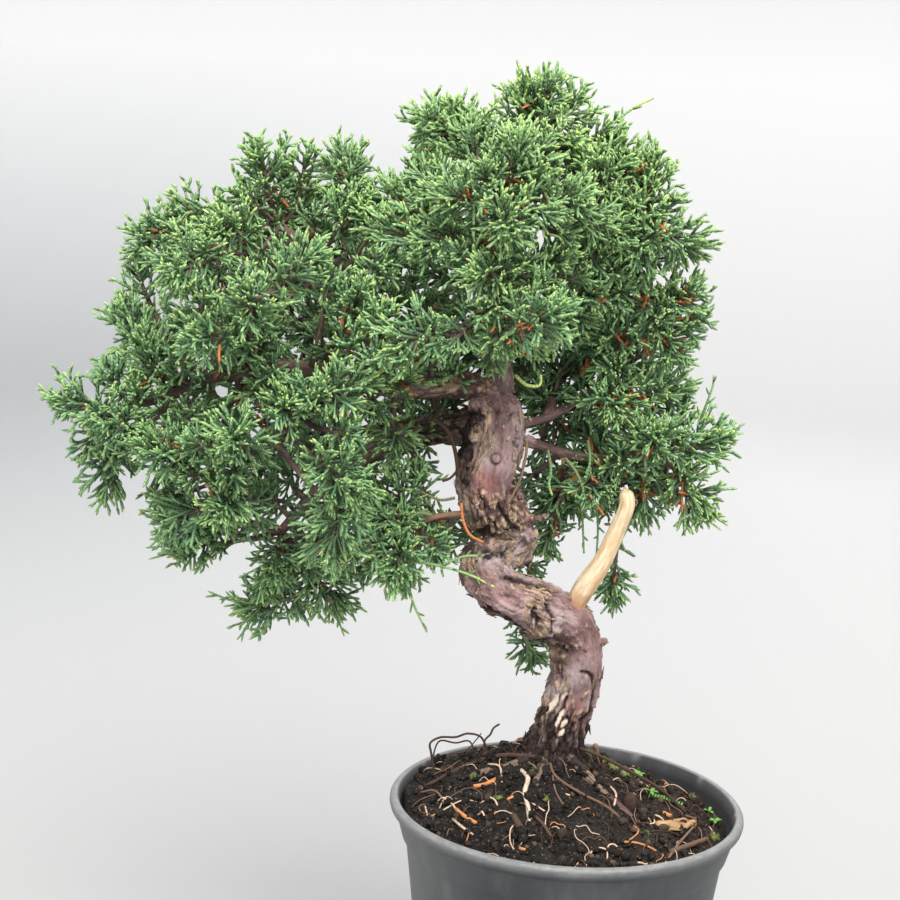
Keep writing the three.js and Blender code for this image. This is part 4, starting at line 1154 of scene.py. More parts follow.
def grain_paths():
    """The centre lines that the bark's grain follows, each with its frames and the way along it."""
    parts = []
    for number, line in enumerate([smooth_path(TRUNK, GRAIN_STEP), *stout_limbs(), *stout_roots()]):
        ahead, across, beside = frames(line[:, :3])
        way = np.arange(len(line)) * GRAIN_STEP + 400 * number
        parts.append(np.column_stack([line[:, :4], ahead, across, beside, way]))
    return np.vstack(parts)


def grain_places(points):
    """For each point: the grain's three numbers, and the stem's direction."""
    rows = grain_paths()
    nearest = np.empty(len(points), int)
    for start in range(0, len(points), 4000):
        block = points[start : start + 4000]
        gap = np.linalg.norm(block[:, None] - rows[None, :, :3], axis=-1) - rows[None, :, 3]
        nearest[start : start + 4000] = gap.argmin(1)
    own = rows[nearest]
    away = points - own[:, :3]
    ahead, across, beside, way = own[:, 4:7], own[:, 7:10], own[:, 10:13], own[:, 13]
    step = (away * ahead).sum(1)
    grain = [(away * across).sum(1), (away * beside).sum(1), (way + step) * GRAIN_STRETCH]
    return np.column_stack(grain), ahead


def line_mask(points, line, width):
    """How near each point of the front is to a polyline, seen from the front: 1 on it, 0 a width away."""
    flat = points[:, [0, 2]]
    best = np.full(len(points), 1e9)
    for start, end in zip(line, line[1:]):
        start, step = np.array(start), np.array(end) - start
        share = np.clip(((flat - start) @ step) / step.dot(step), 0, 1)
        best = np.minimum(best, np.linalg.norm(flat - start - share[:, None] * step, axis=1))
    return smoothstep(width, 0.35 * width, best)


def spot_shares(points, spots, fuzz, outer, inner):
    """How far each point lies in each of some spots: 1 in its middle and 0 outside it."""
    return np.array([
        smoothstep(outer, inner, np.linalg.norm((points - at) / size, axis=1) + fuzz) for at, size in spots
    ])


def remeshed(pieces):
    """One skin over overlapping pieces."""
    draft = add_object("trunk_draft", make_mesh("trunk_draft", join(pieces)))
    remesh = draft.modifiers.new("remesh", "REMESH")
    remesh.mode = "VOXEL"
    remesh.voxel_size = VOXEL * MM
    ease = draft.modifiers.new("ease", "SMOOTH")
    ease.factor = 0.5
    ease.iterations = 4
    return applied(draft)


def bark_waves(points, grain):
    """The random fields that the bark's form is made of."""
    return {
        "ridges": noise_at(grain, 0.34, 3),
        "fibres": noise_at(grain + 40, 0.95, 3),
        "layers": 3.2 * noise_at(grain * [1, 1, 1.7] + 90, 0.23, 3),
        "fine": noise_at(points, 0.75, 3),
        "broad": noise_at(points, 0.09, 2),
        "seams": np.abs(noise_at(grain * [1, 1, 0.8] + 200, 0.30, 2)),
        "chunks": noise_at(points * [1, 1, 0.7] + 70, 0.30, 2),
        "grooves": noise_at(grain * [1, 1, 0.6] + 20, 0.42, 2),
    }


def bark_plates(points, normals, waves, front):
    """Layered plates, torn chunks, cracks and grooves: their height, plate and darkness. The darkness holds
    painted shade too.
    """
    x, z = points[:, 0], points[:, 2]
    fine, broad, layers = waves["fine"], waves["broad"], waves["layers"]
    smooth = spot_shares(points, SMOOTH_SPOTS, 0.5 * broad + 0.25 * fine, 1.25, 0.7).max(0)
    smooth *= smoothstep(0.5, -0.3, normals[:, 1])
    flaky = 1 - smooth
    shelf = np.floor(layers) + smoothstep(0.72, 1.0, layers - np.floor(layers))
    plate = flaky * smoothstep(-0.45, 0.35, np.sin(2.1 * shelf + 1.0))
    plate *= smoothstep(-0.22, 0.18, broad + 0.4 * fine + 0.1)
    chunks = smoothstep(-0.05, 0.12, waves["chunks"])
    rough = spot_shares(points, ROUGH_SPOTS, 0.5 * broad + 0.3 * fine, 1.2, 0.7).max(0)
    rough *= 1 - 0.8 * smooth
    plate = np.maximum(plate, rough * smoothstep(0.25, 0.6, chunks + 0.4 * fine))
    height = flaky * (0.34 * waves["fibres"] + 0.42 * shelf + 0.3 * fine + 0.55 * chunks)
    height += 0.22 * waves["ridges"] + 0.10 * fine + rough * (0.9 * chunks + 0.7 * fine - 0.3)
    crack = flaky * smoothstep(0.085, 0.0, waves["seams"])
    lines = front * np.max([line_mask(points, line, width) for line, width in CRACKS], axis=0)
    foot = smoothstep(150, 132, z)
    groove = smoothstep(0.06, -0.22, waves["grooves"]) * foot
    height -= 0.55 * crack + 1.0 * lines + 1.4 * groove
    # Painted shade: darker on the foot's left side, on faces that look down and in the relief's low places
    left_edge = smoothstep(1.5, -3.5, x + 7.5 + FOOT_LEAN * (155 - z)) * smoothstep(162, 154, z)
    under = smoothstep(-0.35, -0.85, normals[:, 2])
    dark = 0.35 * crack + 0.45 * rough * (1 - chunks) + 0.9 * lines + 0.55 * foot + 0.8 * groove
    dark += 1.2 * left_edge + 0.4 * under + smoothstep(131, 124, z) + 0.3 * smoothstep(0.0, -1.2, height)
    return height, plate, dark


def cream_share(points, fine):
    """Where the bark is off and cream wood shows."""
    share = np.zeros(len(points))
    for at, width, length in CREAM_SPOTS:
        lean = points - at
        lean[:, 0] -= FOOT_LEAN * lean[:, 2] * (at[2] < FOOT_TOP)
        away = np.linalg.norm(lean / [width, CREAM_DEPTH, length], axis=1)
        share = np.maximum(share, smoothstep(1.12, 0.85, away + 0.2 * fine))
    return share


def wound_shape(points, fine, front):
    """The long wound's raised rim and its pit."""
    along = np.array(WOUND["along"])
    half = WOUND["half"]
    lean = points - WOUND["at"]
    rise = lean @ along
    side = lean[:, 0] - rise * along[0]
    away = np.hypot(side / half[0], rise / half[1]) + 0.35 * fine
    near = front * smoothstep(9, 6, np.abs(lean[:, 1] + 1))
    return near * np.exp(-(((away - 0.95) / 0.28) ** 2)), near * smoothstep(0.72, 0.35, away)


def bark_relief(points, normals, grain):
    """The bark's height over the wood, and where it flakes, is cream or red, or dark with its own colour
    and painted shade.
    """
    waves = bark_waves(points, grain)
    fine, broad = waves["fine"], waves["broad"]
    front = smoothstep(0.25, -0.25, normals[:, 1])
    height, plate, dark = bark_plates(points, normals, waves, front)
    red = 0.75 * spot_shares(points, RED_SPOTS, 0.4 * broad + 0.3 * fine, 1.2, 0.1).max(0)
    # Painted shade in the spots where the crown shades the bark, on bark that is darker there too
    dark += 0.85 * spot_shares(points, DARK_SPOTS, 0.5 * broad + 0.25 * fine, 1.25, 0.6).sum(0)
    cream = front * cream_share(points, fine)
    dark *= 1 - cream
    height = height * (1 - cream) - 0.35 * cream
    rim, pit = wound_shape(points, fine, front)
    height += 1.2 * rim - 2.2 * pit + 0.9 * pit * fine
    plate = np.maximum(plate * (1 - pit), rim)
    dark = dark * (1 - rim) + 0.95 * pit
    for name, radius in BUDS.items():
        away = np.linalg.norm(points - KNOBS[name][0], axis=1) / radius
        dark += 0.8 * np.exp(-(((away - 1.25) / 0.22) ** 2)) - 0.7 * smoothstep(1.0, 0.6, away)
        height += 0.7 * smoothstep(1.1, 0.6, away) - 0.7 * np.exp(-(((away - 1.3) / 0.25) ** 2))
    dark = np.clip(dark * (1 - cream), 0, 1)
    values = {"plate": plate, "dark": dark, "cream": cream, "red": red, "grain": grain}
    return height + 0.5 * broad, values


def read_points(mesh, field):
    flat = np.empty(len(mesh.vertices) * 3, np.float32)
    mesh.vertices.foreach_get(field, flat)
    return flat.reshape(-1, 3).astype(float)


def make_trunk(rng, bark):
    mesh = remeshed(trunk_pieces())
    points = read_points(mesh, "co") / MM
    normals = read_points(mesh, "normal")
    grain, ahead = grain_places(points)
    height, values = bark_relief(points, normals, grain)
    moved = points + normals * height[:, None]
    mesh.vertices.foreach_set("co", (moved * MM).astype(np.float32).reshape(-1))
    store(mesh, values)
    mesh.polygons.foreach_set("use_smooth", np.ones(len(mesh.polygons), bool))
    mesh.update()
    put("trunk_bark", mesh, bark, "bark", "trunk")
    put("bark_flakes", make_flakes(rng, moved, normals, ahead, values), bark, "bark")


def make_flakes(rng, points, normals, ahead, values):
    """Thin strips of peeling bark, held at one end and curled off the trunk at the other."""
    above = points[:, 2] > 126
    weight = (0.15 + values["plate"] + 0.8 * values["dark"]) * above * (1 - values["cream"]) ** 4
    chosen = rng.choice(len(points), FLAKES, replace=False, p=weight / weight.sum())
    flakes = []
    for k in chosen:
        out = normals[k]
        along = unit(ahead[k] + rng.normal(0, 0.25, 3))
        along = unit(along - out * along.dot(out)) * rng.choice([-1, 1])
        side = np.cross(out, along)
        length = rng.uniform(1.8, 5.5)
        width = rng.uniform(0.35, 1.1)
        lift = rng.uniform(0.15, 0.95) * (1.6 if values["dark"][k] > 0.6 else 1)
        rings = []
        for share, breadth in ((0, 0.7), (0.35, 1.0), (0.7, 0.8), (1.0, 0.25)):
            middle = points[k] + along * length * (share - 0.3) + out * (lift * share**2 - 0.12)
            half = side * width * breadth * (1 + rng.uniform(-0.2, 0.2))
            thick = out * (0.16 - 0.08 * share)
            low, high = middle - thick, middle + thick
            rings += [low - half, low + half, high + half, high - half]
        quads = np.vstack([[[3, 2, 1, 0], [12, 13, 14, 15]], bands(4, 4)[0]])
        full = np.ones(len(rings))
        # Each flake takes most of the darkness of the bark under it, painted shade included
        own = {"plate": full * rng.uniform(0.2, 1.0), "dark": full * values["dark"][k] * 0.9}
        own["grain"] = np.array(rings) + rng.uniform(0, 50)
        flakes.append(shape(rings, [quads], **own))
    return join(flakes)


def make_limbs(rng, lines, bark):
    """The limbs, the roots over the soil, and the twigs that carry the foliage."""
    pieces = []
    for name in LIMBS:
        rows = limb_rows(name, 2.0)
        # The limbs' darkness is partly darker bark and partly painted shade from the crown
        pieces.append(tube(rows, 12, wobble(rng, len(rows), 12, 0.09), plate=0.5, dark=0.42))
    for name in ROOTS:
        rows = root_rows(name)
        pieces.append(tube(rows, 10, wobble(rng, len(rows), 10, 0.12), plate=0.8, dark=0.6))
    for rows in lines:
        relief = wobble(rng, len(rows), 6, 0.06)
        pieces.append(tube(rows, 6, relief, plate=0.5, dark=rng.uniform(0.3, 0.7)))
    put("limbs_and_twigs", join(pieces), bark, "bark", "trunk")


# Jin
def make_jin(rng):
    rows = smooth_path(JIN, JIN_STEP)
    sides = 48
    way = np.arange(len(rows))[:, None] * JIN_STEP
    angle = turns(sides)
    relief = 1 + 0.035 * np.sin(4 * angle + 0.05 * way) + 0.025 * np.sin(9 * angle - 0.09 * way + 2)
    relief = relief + 0.04 * np.sin(2 * angle + 0.21 * way) * np.cos(0.13 * way)
    split = np.exp(-(((angle + 0.02 * way) % (2 * math.pi) - 3.9) / 0.10) ** 2) * smoothstep(16, 26, way)
    relief = relief - 0.10 * split * smoothstep(46, 38, way)
    end = np.clip((way[-1] - way) / 2.6, 0, 1)
    relief = relief * np.sqrt(np.clip(1 - (1 - end) ** 2 * 0.92, 0, 1))
    item = tube(rows, sides, relief)
    z = item["points"][:, 2]
    item["values"]["dark"] = smoothstep(191, 184, z + 2 * noise_at(item["points"], 0.4, 2)) * 0.7
    put("jin_stub", item, jin_finish(), "deadwood", "jin")


# Foliage
def axes(direction):
    """Two unit directions square to each of many."""
    reference = np.where(np.abs(direction[:, 2:]) < 0.8, UP, [[1.0, 0, 0]])
    side = unit(np.cross(direction, reference))
    return side, np.cross(direction, side)


def shoot(base, heading, length, bend, flat, radius, age, tone, dead):
    """Many shoots at once, one to a row. The age is a pair, at the foot and at the tip."""
    return {
        "base": base, "heading": heading, "length": length, "bend": bend, "flat": flat,
        "radius": radius, "age": age, "tone": tone, "dead": dead,
    }


def ages(foot, tip, count):
    return np.tile([foot, tip], (count, 1))


def any_flat(rng, heading):
    """A random direction square to each heading."""
    return unit(np.cross(heading, rng.normal(size=heading.shape)))


def along(shoots, share):
    share = share[..., None]
    step = shoots["heading"] * share + shoots["bend"] * share**2
    return shoots["base"] + step * shoots["length"][:, None]


def ahead_of(shoots, share):
    return unit(shoots["heading"] + 2 * shoots["bend"] * share[:, None])


def first_shoots(rng, centre, outward, reach, count):
    """The leafy twigs of a tuft: they leave its stem one above another, all round it."""
    share = (np.arange(count) + 0.5) / count
    turn = np.arange(count) * GOLDEN_TURN + rng.uniform(0, 6.28)
    spread = lerp(*SHOOT_SPREAD, share) + rng.normal(0, 0.15, count)
    heading = unit(between(outward, between(*axes(outward[None]), turn), spread))
    base = centre + outward * (lerp(*SHOOT_ROOTS, share) * reach)[:, None]
    limit = reach * rng.uniform(*SHOOT_REACH, count)
    inwards = base - centre
    part = (inwards * heading).sum(1)
    length = -part + np.sqrt(np.maximum(part**2 + limit**2 - (inwards**2).sum(1), 4))
    bend = 0.10 * UP + rng.normal(0, 0.07, (count, 3))
    flat = between(*axes(heading), rng.uniform(0, 6.28, count))
    tone = np.clip(rng.normal(0.4, 0.22, count), 0, 1)
    radius = np.full(count, CORD_RADIUS * 1.12)
    return shoot(base, heading, length, bend, flat, radius, ages(0.02, 0.85, count), tone, np.zeros(count))


def side_shoots(rng, parents, age, spacing, first, angle, share, least):
    """Cords that leave each parent to the left and right in turn."""
    counts = np.maximum(0, ((1 - first) * parents["length"] / spacing)).astype(int)
    which = np.repeat(np.arange(len(counts)), counts)
    order = np.arange(len(which)) - np.repeat(np.cumsum(counts) - counts, counts)
    total = len(which)
    step = spacing / parents["length"][which]
    at = np.clip(first + (order + rng.uniform(0.1, 0.9, total)) * step, 0, 0.97)
    own = {key: value[which] for key, value in parents.items()}
    tangent = ahead_of(own, at)
    flat = unit(own["flat"] - tangent * (own["flat"] * tangent).sum(1, keepdims=True))
    side = np.cross(flat, tangent) * np.where((order + which) % 2, 1, -1)[:, None]
    lean = angle + rng.normal(0, 0.12, total)
    lift = rng.normal(0, 0.28, total)
    heading = unit(between(tangent, side, lean) + flat * lift[:, None])
    length = (share * own["length"] * (1 - at) ** 0.7 + least) * rng.uniform(0.65, 1.2, total)
    bend = 0.20 * tangent + rng.normal(0, 0.05, (total, 3)) + 0.04 * UP
    tone = np.clip(own["tone"] + rng.normal(0, 0.10, total), 0, 1)
    tips = np.clip(rng.normal(age[1], 0.12, total), 0, 1)
    radius = CORD_RADIUS * rng.uniform(0.88, 1.06, total)
    flat = unit(flat + 0.5 * rng.normal(size=(total, 3)))
    both = np.column_stack([np.full(total, age[0]), tips])
    return shoot(along(own, at), heading, length, bend, flat, radius, both, tone, own["dead"])


def cords(shoots, rings, sides):
    """Pointed cords, one for each shoot."""
    count = len(shoots["length"])
    base, heading, bend, flat = (shoots[key][:, None] for key in ("base", "heading", "bend", "flat"))
    length = shoots["length"][:, None]
    cap = np.clip(1.1 * shoots["radius"] / shoots["length"], 0, 0.5)
    steps = np.linspace(0, 1, rings)
    shares = steps[None] * (1 - cap[:, None])
    step = shares[:, :, None]
    path = base + length[:, :, None] * (heading * step + bend * step**2)
    tangent = unit(heading + 2 * bend * step)
    across = unit(flat - tangent * (flat * tangent).sum(-1, keepdims=True))
    beside = np.cross(tangent, across)
    width = shoots["radius"][:, None] * lerp(1.0, 0.88, steps)
    width[:, -1] *= 0.88
    spokes = between(across[:, :, None], beside[:, :, None], turns(sides))
    rims = path[:, :, None] + spokes * width[:, :, None, None]
    tips = along(shoots, np.ones(count))
    points = np.concatenate([rims.reshape(count, -1, 3), tips[:, None]], 1)
    shares = np.concatenate([np.repeat(shares, sides, 1), np.ones((count, 1))], 1)
    each = rings * sides + 1
    quads, side, after = bands(rings, sides)
    top = (rings - 1) * sides
    tip = fan(top + side, top + after, each - 1)
    foot = side[::-1][None]
    faces = [quads, tip, foot] if sides == 3 else [np.vstack([quads, foot]), tip]
    start = (np.arange(count) * each)[:, None, None]
    faces = [(face[None] + start).reshape(-1, face.shape[1]) for face in faces]
    age = shoots["age"]
    per_point = {
        "age": (age[:, :1] + (age[:, 1:] - age[:, :1]) * shares**1.8).reshape(-1),
        "along": (shares * length).reshape(-1),
        "tone": np.repeat(shoots["tone"], each),
        "dead": np.repeat(shoots["dead"], each),
    }
    return shape(points.reshape(-1, 3), faces, **per_point)


def all_cords(*kinds):
    """Cords for several sets of shoots, each with its rings and sides."""
    return [cords(*kind) for kind in kinds if len(kind[0]["length"])]


def leafy(rng, first, centre, reach, youth, shade=0.0):
    """First shoots with two orders of side cords on them, with painted shade towards the tuft's middle and
    under it.
    """
    second = side_shoots(rng, first, (0.25 * youth, 0.9 * youth), **SIDE_CORDS)
    third = side_shoots(rng, second, (0.5 * youth, youth), **TIP_CORDS)
    made = all_cords((first, 4, 4), (second, 3, 3), (third, 2, 3))
    for item in made:
        # Painted shade: darker towards the tuft's middle and under it; the shade argument adds painted
        # shade over the whole tuft
        out = np.linalg.norm(item["points"] - centre, axis=1) / reach
        z = item["points"][:, 2]
        below = smoothstep(0.2, -0.9, (z - centre[2]) / reach)
        deep = smoothstep(0.95, 0.25, out) + 0.25 * below
        item["values"]["deep"] = np.clip(shade + (1 - shade) * deep, 0, 1)
        # Painted light: high on the crown the cords lose their blue-green tone, so they are lighter and
        # yellower, as in full light
        item["values"]["tone"] *= 1 - 0.7 * smoothstep(270, 350, z)
    return made


def twig_shoots(rng, line, start, spacing, reach):
    """Leafy shoots along a twig, from a share of its length to its end."""
    path, (ahead, across, beside) = line[:, :3], frames(line[:, :3])
    length = np.linalg.norm(np.diff(path, axis=0), axis=1).sum()
    count = int((1 - start) * length / spacing)
    if count < 1:
        return None
    at = start + (1 - start) * (np.arange(count) + rng.uniform(0.1, 0.9, count)) / count
    index = at * (len(path) - 1)
    base = np.column_stack([np.interp(index, np.arange(len(path)), column) for column in path.T])
    low = np.clip(index.astype(int), 0, len(path) - 1)
    turn = np.arange(count) * GOLDEN_TURN + rng.uniform(0, 6.28)
    radial = between(across[low], beside[low], turn)
    heading = unit(between(ahead[low], radial, rng.uniform(0.7, 1.15, count)))
    size = reach * rng.uniform(0.55, 0.95, count)
    bend = 0.16 * ahead[low] + 0.1 * UP + rng.normal(0, 0.08, (count, 3))
    flat = any_flat(rng, heading)
    tone = np.clip(rng.normal(0.5, 0.2, count), 0, 1)
    radius = np.full(count, CORD_RADIUS)
    return shoot(base, heading, size, bend, flat, radius, ages(0.02, 0.7, count), tone, np.zeros(count))


def dead_shoots(rng, centre, outward, reach, count):
    """Dried orange cords among the live ones, with a fork or two."""
    base = centre - outward * reach * rng.uniform(0, 0.9, (count, 1)) + rng.normal(0, 2.0, (count, 3))
    heading = unit(rng.normal(size=(count, 3)) + 0.9 * outward - 0.3 * UP)
    length = rng.uniform(5, 11, count)
    flat = any_flat(rng, heading)
    full = np.ones(count)
    bend = rng.normal(0, 0.12, (count, 3))
    stems = shoot(base, heading, length, bend, flat, 0.55 * full, ages(0, 0, count), 0.5 * full, full)
    forks = side_shoots(rng, stems, (0, 0), **DEAD_FORKS)
    forks["radius"] = forks["radius"] * 0.8
    return all_cords((stems, 4, 4), (forks, 3, 4))


def long_shoots(rng, centre, outward, reach, count):
    """Straight, nearly bare shoots that reach past a tuft's outline."""
    base = centre + outward * reach * rng.uniform(-0.5, 0.3, (count, 1)) + rng.normal(0, 1.5, (count, 3))
    heading = unit(outward + rng.normal(0, 0.45, (count, 3)) - 0.15 * UP)
    length = reach * rng.uniform(0.95, 1.3, count)
    flat = any_flat(rng, heading)
    bend = 0.06 * UP + rng.normal(0, 0.06, (count, 3))
    tone = np.clip(rng.normal(0.4, 0.2, count), 0, 1)
    radius = np.full(count, LONG_RADIUS)
    stems = shoot(base, heading, length, bend, flat, radius, ages(0.2, 0.85, count), tone, np.zeros(count))
    sides = side_shoots(rng, stems, (0.4, 0.85), **LONG_SIDES)
    return all_cords((stems, 4, 3), (sides, 3, 3))


def find_stem(centre, reach, lines):
    """The nearest place on the limbs that a twig to this tuft can leave from."""
    places = np.vstack(lines)
    gap = np.linalg.norm(places[:, :3] - centre, axis=1)
    gap = np.where(gap < 0.4 * reach, 1e6, gap)
    return places[gap.argmin()]


def stem_gap(row, lines):
    """How far a tuft lies from the limb that carries it."""
    centre = np.array(row[:3])
    return np.linalg.norm(find_stem(centre, row[3], lines)[:3] - centre)


def carrying_twig(rng, centre, reach, lines):
    """A twig from the nearest limb to a tuft's middle, and the way that it points."""
    start = find_stem(centre, reach, lines)
    span = np.linalg.norm(centre - start[:3])
    middle = (start[:3] + centre) / 2 - [0, 0, 0.06 * span] + rng.normal(0, 0.05 * span, 3)
    radius = max(min(1.5, 0.6 * start[3]), 0.8)
    rows = [[*start[:3], radius], [*middle, lerp(radius, 0.8, 0.5)], [*centre, 0.75]]
    return smooth_path(rows, 2.5), (centre - start[:3]) / span


def tuft(rng, centre, reach, lines, count):
    """A tuft's carrying twig, the way that it points, and its first shoots."""
    line, outward = carrying_twig(rng, centre, reach, lines)
    return line, outward, first_shoots(rng, centre, outward, reach, count)


def make_foliage(finish, limbs):
    """Every spray of the crown. The twigs that carry them are given back, as by the next three."""
    twigs = []
    for number, (name, tufts) in enumerate(SPRAYS.items()):
        rng = np.random.default_rng(SEEDS["sprays"] + number)
        parts = []
        own = []
        for x, y, z, reach in sorted(tufts, key=lambda row: stem_gap(row, limbs)):
            centre = np.array([x, y, z], float)
            line, outward, first = tuft(rng, centre, reach, limbs + own, SHOOTS_PER_TUFT)
            own.append(line)
            parts += leafy(rng, first, centre, reach, rng.uniform(0.82, 1.0))
            lower = twig_shoots(rng, line, TWIG_BARE, TWIG_SPACING, reach)
            if lower:
                # Painted shade over the shoots along the carrying twig
                parts += leafy(rng, lower, centre, 1.5 * reach, 0.8, 0.2)
            dry = DRY_SHOOTS if name in DRY_SPRAYS else rng.poisson(1.2)
            parts += dead_shoots(rng, centre, outward, reach, dry)
            if name in LONG_SPRAYS:
                parts += long_shoots(rng, centre, outward, reach, LONG_SHOOTS)
        twigs += own
        put("foliage_" + name, join(parts), finish, "foliage", "spray_" + name)
    return twigs


def make_inner_foliage(finish):
    """Small sprays on the limbs themselves, inside the crown, with painted shade."""
    twigs = []
    for number, (name, bare) in enumerate(INNER_BARE.items()):
        rng = np.random.default_rng(SEEDS["inner"] + number)
        rows = limb_rows(name, INNER_SPACING)
        ahead, across, beside = frames(rows[:, :3])
        parts = []
        for k in range(int(bare * len(rows)), len(rows)):
            root = rows[k, :3]
            turn = k * GOLDEN_TURN + rng.uniform(-0.4, 0.4)
            out = across[k] * math.cos(turn) + beside[k] * math.sin(turn)
            outward = unit(out + 0.5 * ahead[k] + 0.15 * UP)
            span = rng.uniform(9, 17)
            centre = root + outward * span
            line = smooth_path([[*root, 0.9], [*(root + out * span * 0.4), 0.8], [*centre, 0.7]], 2.5)
            twigs.append(line)
            first = first_shoots(rng, centre, outward, INNER_REACH, INNER_SHOOTS)
            # Painted shade over all the inner tufts, and duller tips
            parts += leafy(rng, first, centre, INNER_REACH, 0.7, 0.45)
            parts += dead_shoots(rng, centre, outward, INNER_REACH, rng.poisson(0.8))
        put("inner_foliage_" + name, join(parts), finish, "foliage")
    return twigs


def make_fillers(finish, limbs):
    """Tufts behind the front sprays, with painted shade, and brighter ones without it over the thin places.
    """
    twigs = []
    for half, tufts in enumerate((FILLERS[::2], FILLERS[1::2], BRIGHT_TUFTS)):
        rng = np.random.default_rng(SEEDS["fillers"] + half)
        # The tufts behind take painted shade and duller tips; the bright ones take neither
        count, youth, shade = (FILLER_SHOOTS, 0.75, 0.3) if half < 2 else (BRIGHT_SHOOTS, 0.98, 0.0)
        parts = []
        for x, y, z, reach in tufts:
            centre = np.array([x, y, z], float)
            line, outward, first = tuft(rng, centre, reach, limbs, count)
            twigs.append(line)
            parts += leafy(rng, first, centre, reach, youth, shade)
            parts += dead_shoots(rng, centre, outward, reach, rng.poisson(1.0))
        put("filling_foliage_%d" % (half + 1), join(parts), finish, "foliage")
    return twigs


def make_hand_twigs(rng, finish, wood):
    parts = []
    for radius, age, dead, rows in GREEN_TWIGS:
        thin = np.linspace(1, 0.75, len(rows))
        line = smooth_path([[*row, radius * part] for row, part in zip(rows, thin)], TWIG_STEP)
        item = tube(line, 6, tone=0.2, dead=dead)
        share = np.append(np.repeat(np.linspace(0, 1, len(line)), 6), [0, 1])
        item["values"]["age"] = lerp(*age, share**1.5)
        item["values"]["along"] = share * len(line) * TWIG_STEP
        parts.append(item)
        if not dead and age[1] > 0.3:
            leaves = twig_shoots(rng, line, 0.25, 3.4, 4.2)
            if leaves:
                leaves["radius"] *= 0.8
                parts.append(cords(leaves, 3, 3))
    put("single_cords", join(parts), finish, "foliage")
    woods = []
    for radius, tone, rows in WOOD_TWIGS:
        woods.append(strand(rng, with_radius(rows, radius), tone, 7, TWIG_STEP, 0.14))
    put("bare_twigs", join(woods), wood, "bark", "trunk")


def bridging_places():
    """Places halfway between neighbouring tufts, kept where no tuft and no trunk is near."""
    known = np.array([tuft for tufts in SPRAYS.values() for tuft in tufts] + FILLERS, float)[:, :3]
    stem = smooth_path(TRUNK, 4)[:, :3]
    first, second = np.triu_indices(len(known), 1)
    gaps = np.linalg.norm(known[first] - known[second], axis=1)
    low, high = BRIDGE["span"]
    taken = list(known)
    for k in np.argsort(gaps):
        middle = (known[first[k]] + known[second[k]]) / 2
        near = np.linalg.norm(np.array(taken) - middle, axis=1).min()
        if low < gaps[k] < high and near > BRIDGE["clear"]:
            if np.linalg.norm(stem - middle, axis=1).min() > BRIDGE["trunk"]:
                taken.append(middle)
    return taken[len(known) :]


def make_bridges(finish, limbs):
    """Small tufts between the sprays, so that the foliage closes into one mass."""
    twigs = []
    places = bridging_places()
    pieces, reach = BRIDGE["pieces"], BRIDGE["reach"]
    for part in range(pieces):
        rng = np.random.default_rng(SEEDS["bridges"] + part)
        parts = []
        for centre in places[part::pieces]:
            line, _, first = tuft(rng, centre, reach, limbs, BRIDGE["shoots"])
            twigs.append(line)
            # A light painted shade over all the linking tufts
            parts += leafy(rng, first, centre, reach, rng.uniform(0.78, 0.98), 0.1)
        put("linking_foliage_%d" % (part + 1), join(parts), finish, "foliage")
    return twigs


# Litter
def make_chip(rng):
    """A flat chip of bark with a broken edge and ridges along it."""
    x, y = BARK_CHIP["at"]
    item = ball((0, 0, 0), 1, rings=26, sides=40)
    points = item["points"]
    points = np.sign(points) * np.abs(points) ** 0.5
    points[:, 1] *= 1 - 0.3 * smoothstep(0.1, 1.0, points[:, 0]) + 0.12 * np.sin(5 * points[:, 0])
    points = points * np.array(BARK_CHIP["size"]) / 2
    points[:, 2] += 0.35 * np.sin(2.6 * points[:, 1] + 0.2 * points[:, 0])
    points += 0.5 * np.column_stack([noise_at(points + shift, 0.5, 3) for shift in (0, 30, 60)])
    turn = np.array(Matrix.Rotation(BARK_CHIP["turn"], 3, "Z"))
    item["points"] = points @ turn.T + ground(x, y, 0.6)
    put("bark_chip_litter", item, chip_finish(), "litter", "bark_chip")


def chip_finish():
    n = Nodes("bark_chip_tan")
    grain = n.noise(160, 4, 0.6, n.scaled((0.4, 1, 1)))
    stain = n.noise(320, 4, 0.65)
    colour = n.mix(n.spread(grain, 0.35, 0.65), (0.300, 0.175, 0.085), (0.560, 0.390, 0.200))
    colour = n.mix(n.spread(stain, 0.52, 0.68, 0, 0.8), colour, (0.120, 0.062, 0.035))
    n.bump(grain, 0.0012, 0.9)
    return n.finish(colour, 0.85, 0.2)


def make_litter(rng, finish):
    start = ground(*STICK["from"], 0.9)
    end = ground(*STICK["to"], 0.9)
    middle = [(a + b) / 2 for a, b in zip(start, end)]
    radius = STICK["radius"]
    rows = [[*start, radius], [*middle, radius * 0.9], [*end, radius * 0.8]]
    put("stick_litter", strand(rng, rows, 0.35, 10, 1.0), finish, "litter", "stick")
    put("rootlets", join(make_rootlets(rng)), finish, "litter", "soil")
    put("moss_and_weeds", join(make_moss(rng) + make_weeds(rng)), green_finish(), "foliage", "soil")


# Stage, light and camera
def cove_finish():
    n = Nodes("pale_cove")
    # Painted light and shade on the backdrop: darker and bluer to the left, lighter to the right, and the
    # floor darker than the wall
    across = n.spread(n.axis("X"), -0.5, 0.3)
    near = n.mix(across, (0.350, 0.352, 0.350), (0.370, 0.370, 0.370))
    far = n.mix(across, (0.315, 0.322, 0.330), (0.445, 0.445, 0.445))
    floor = n.mix(n.spread(n.axis("Y"), 0.2, 1.2), near, far)
    wall = n.mix(n.spread(n.axis("X"), -0.8, 0.7), (0.585, 0.585, 0.590), (0.600, 0.600, 0.600))
    return n.finish(n.mix(n.spread(n.axis("Z"), 0.0, 0.45), floor, wall), 0.9, 0.1)


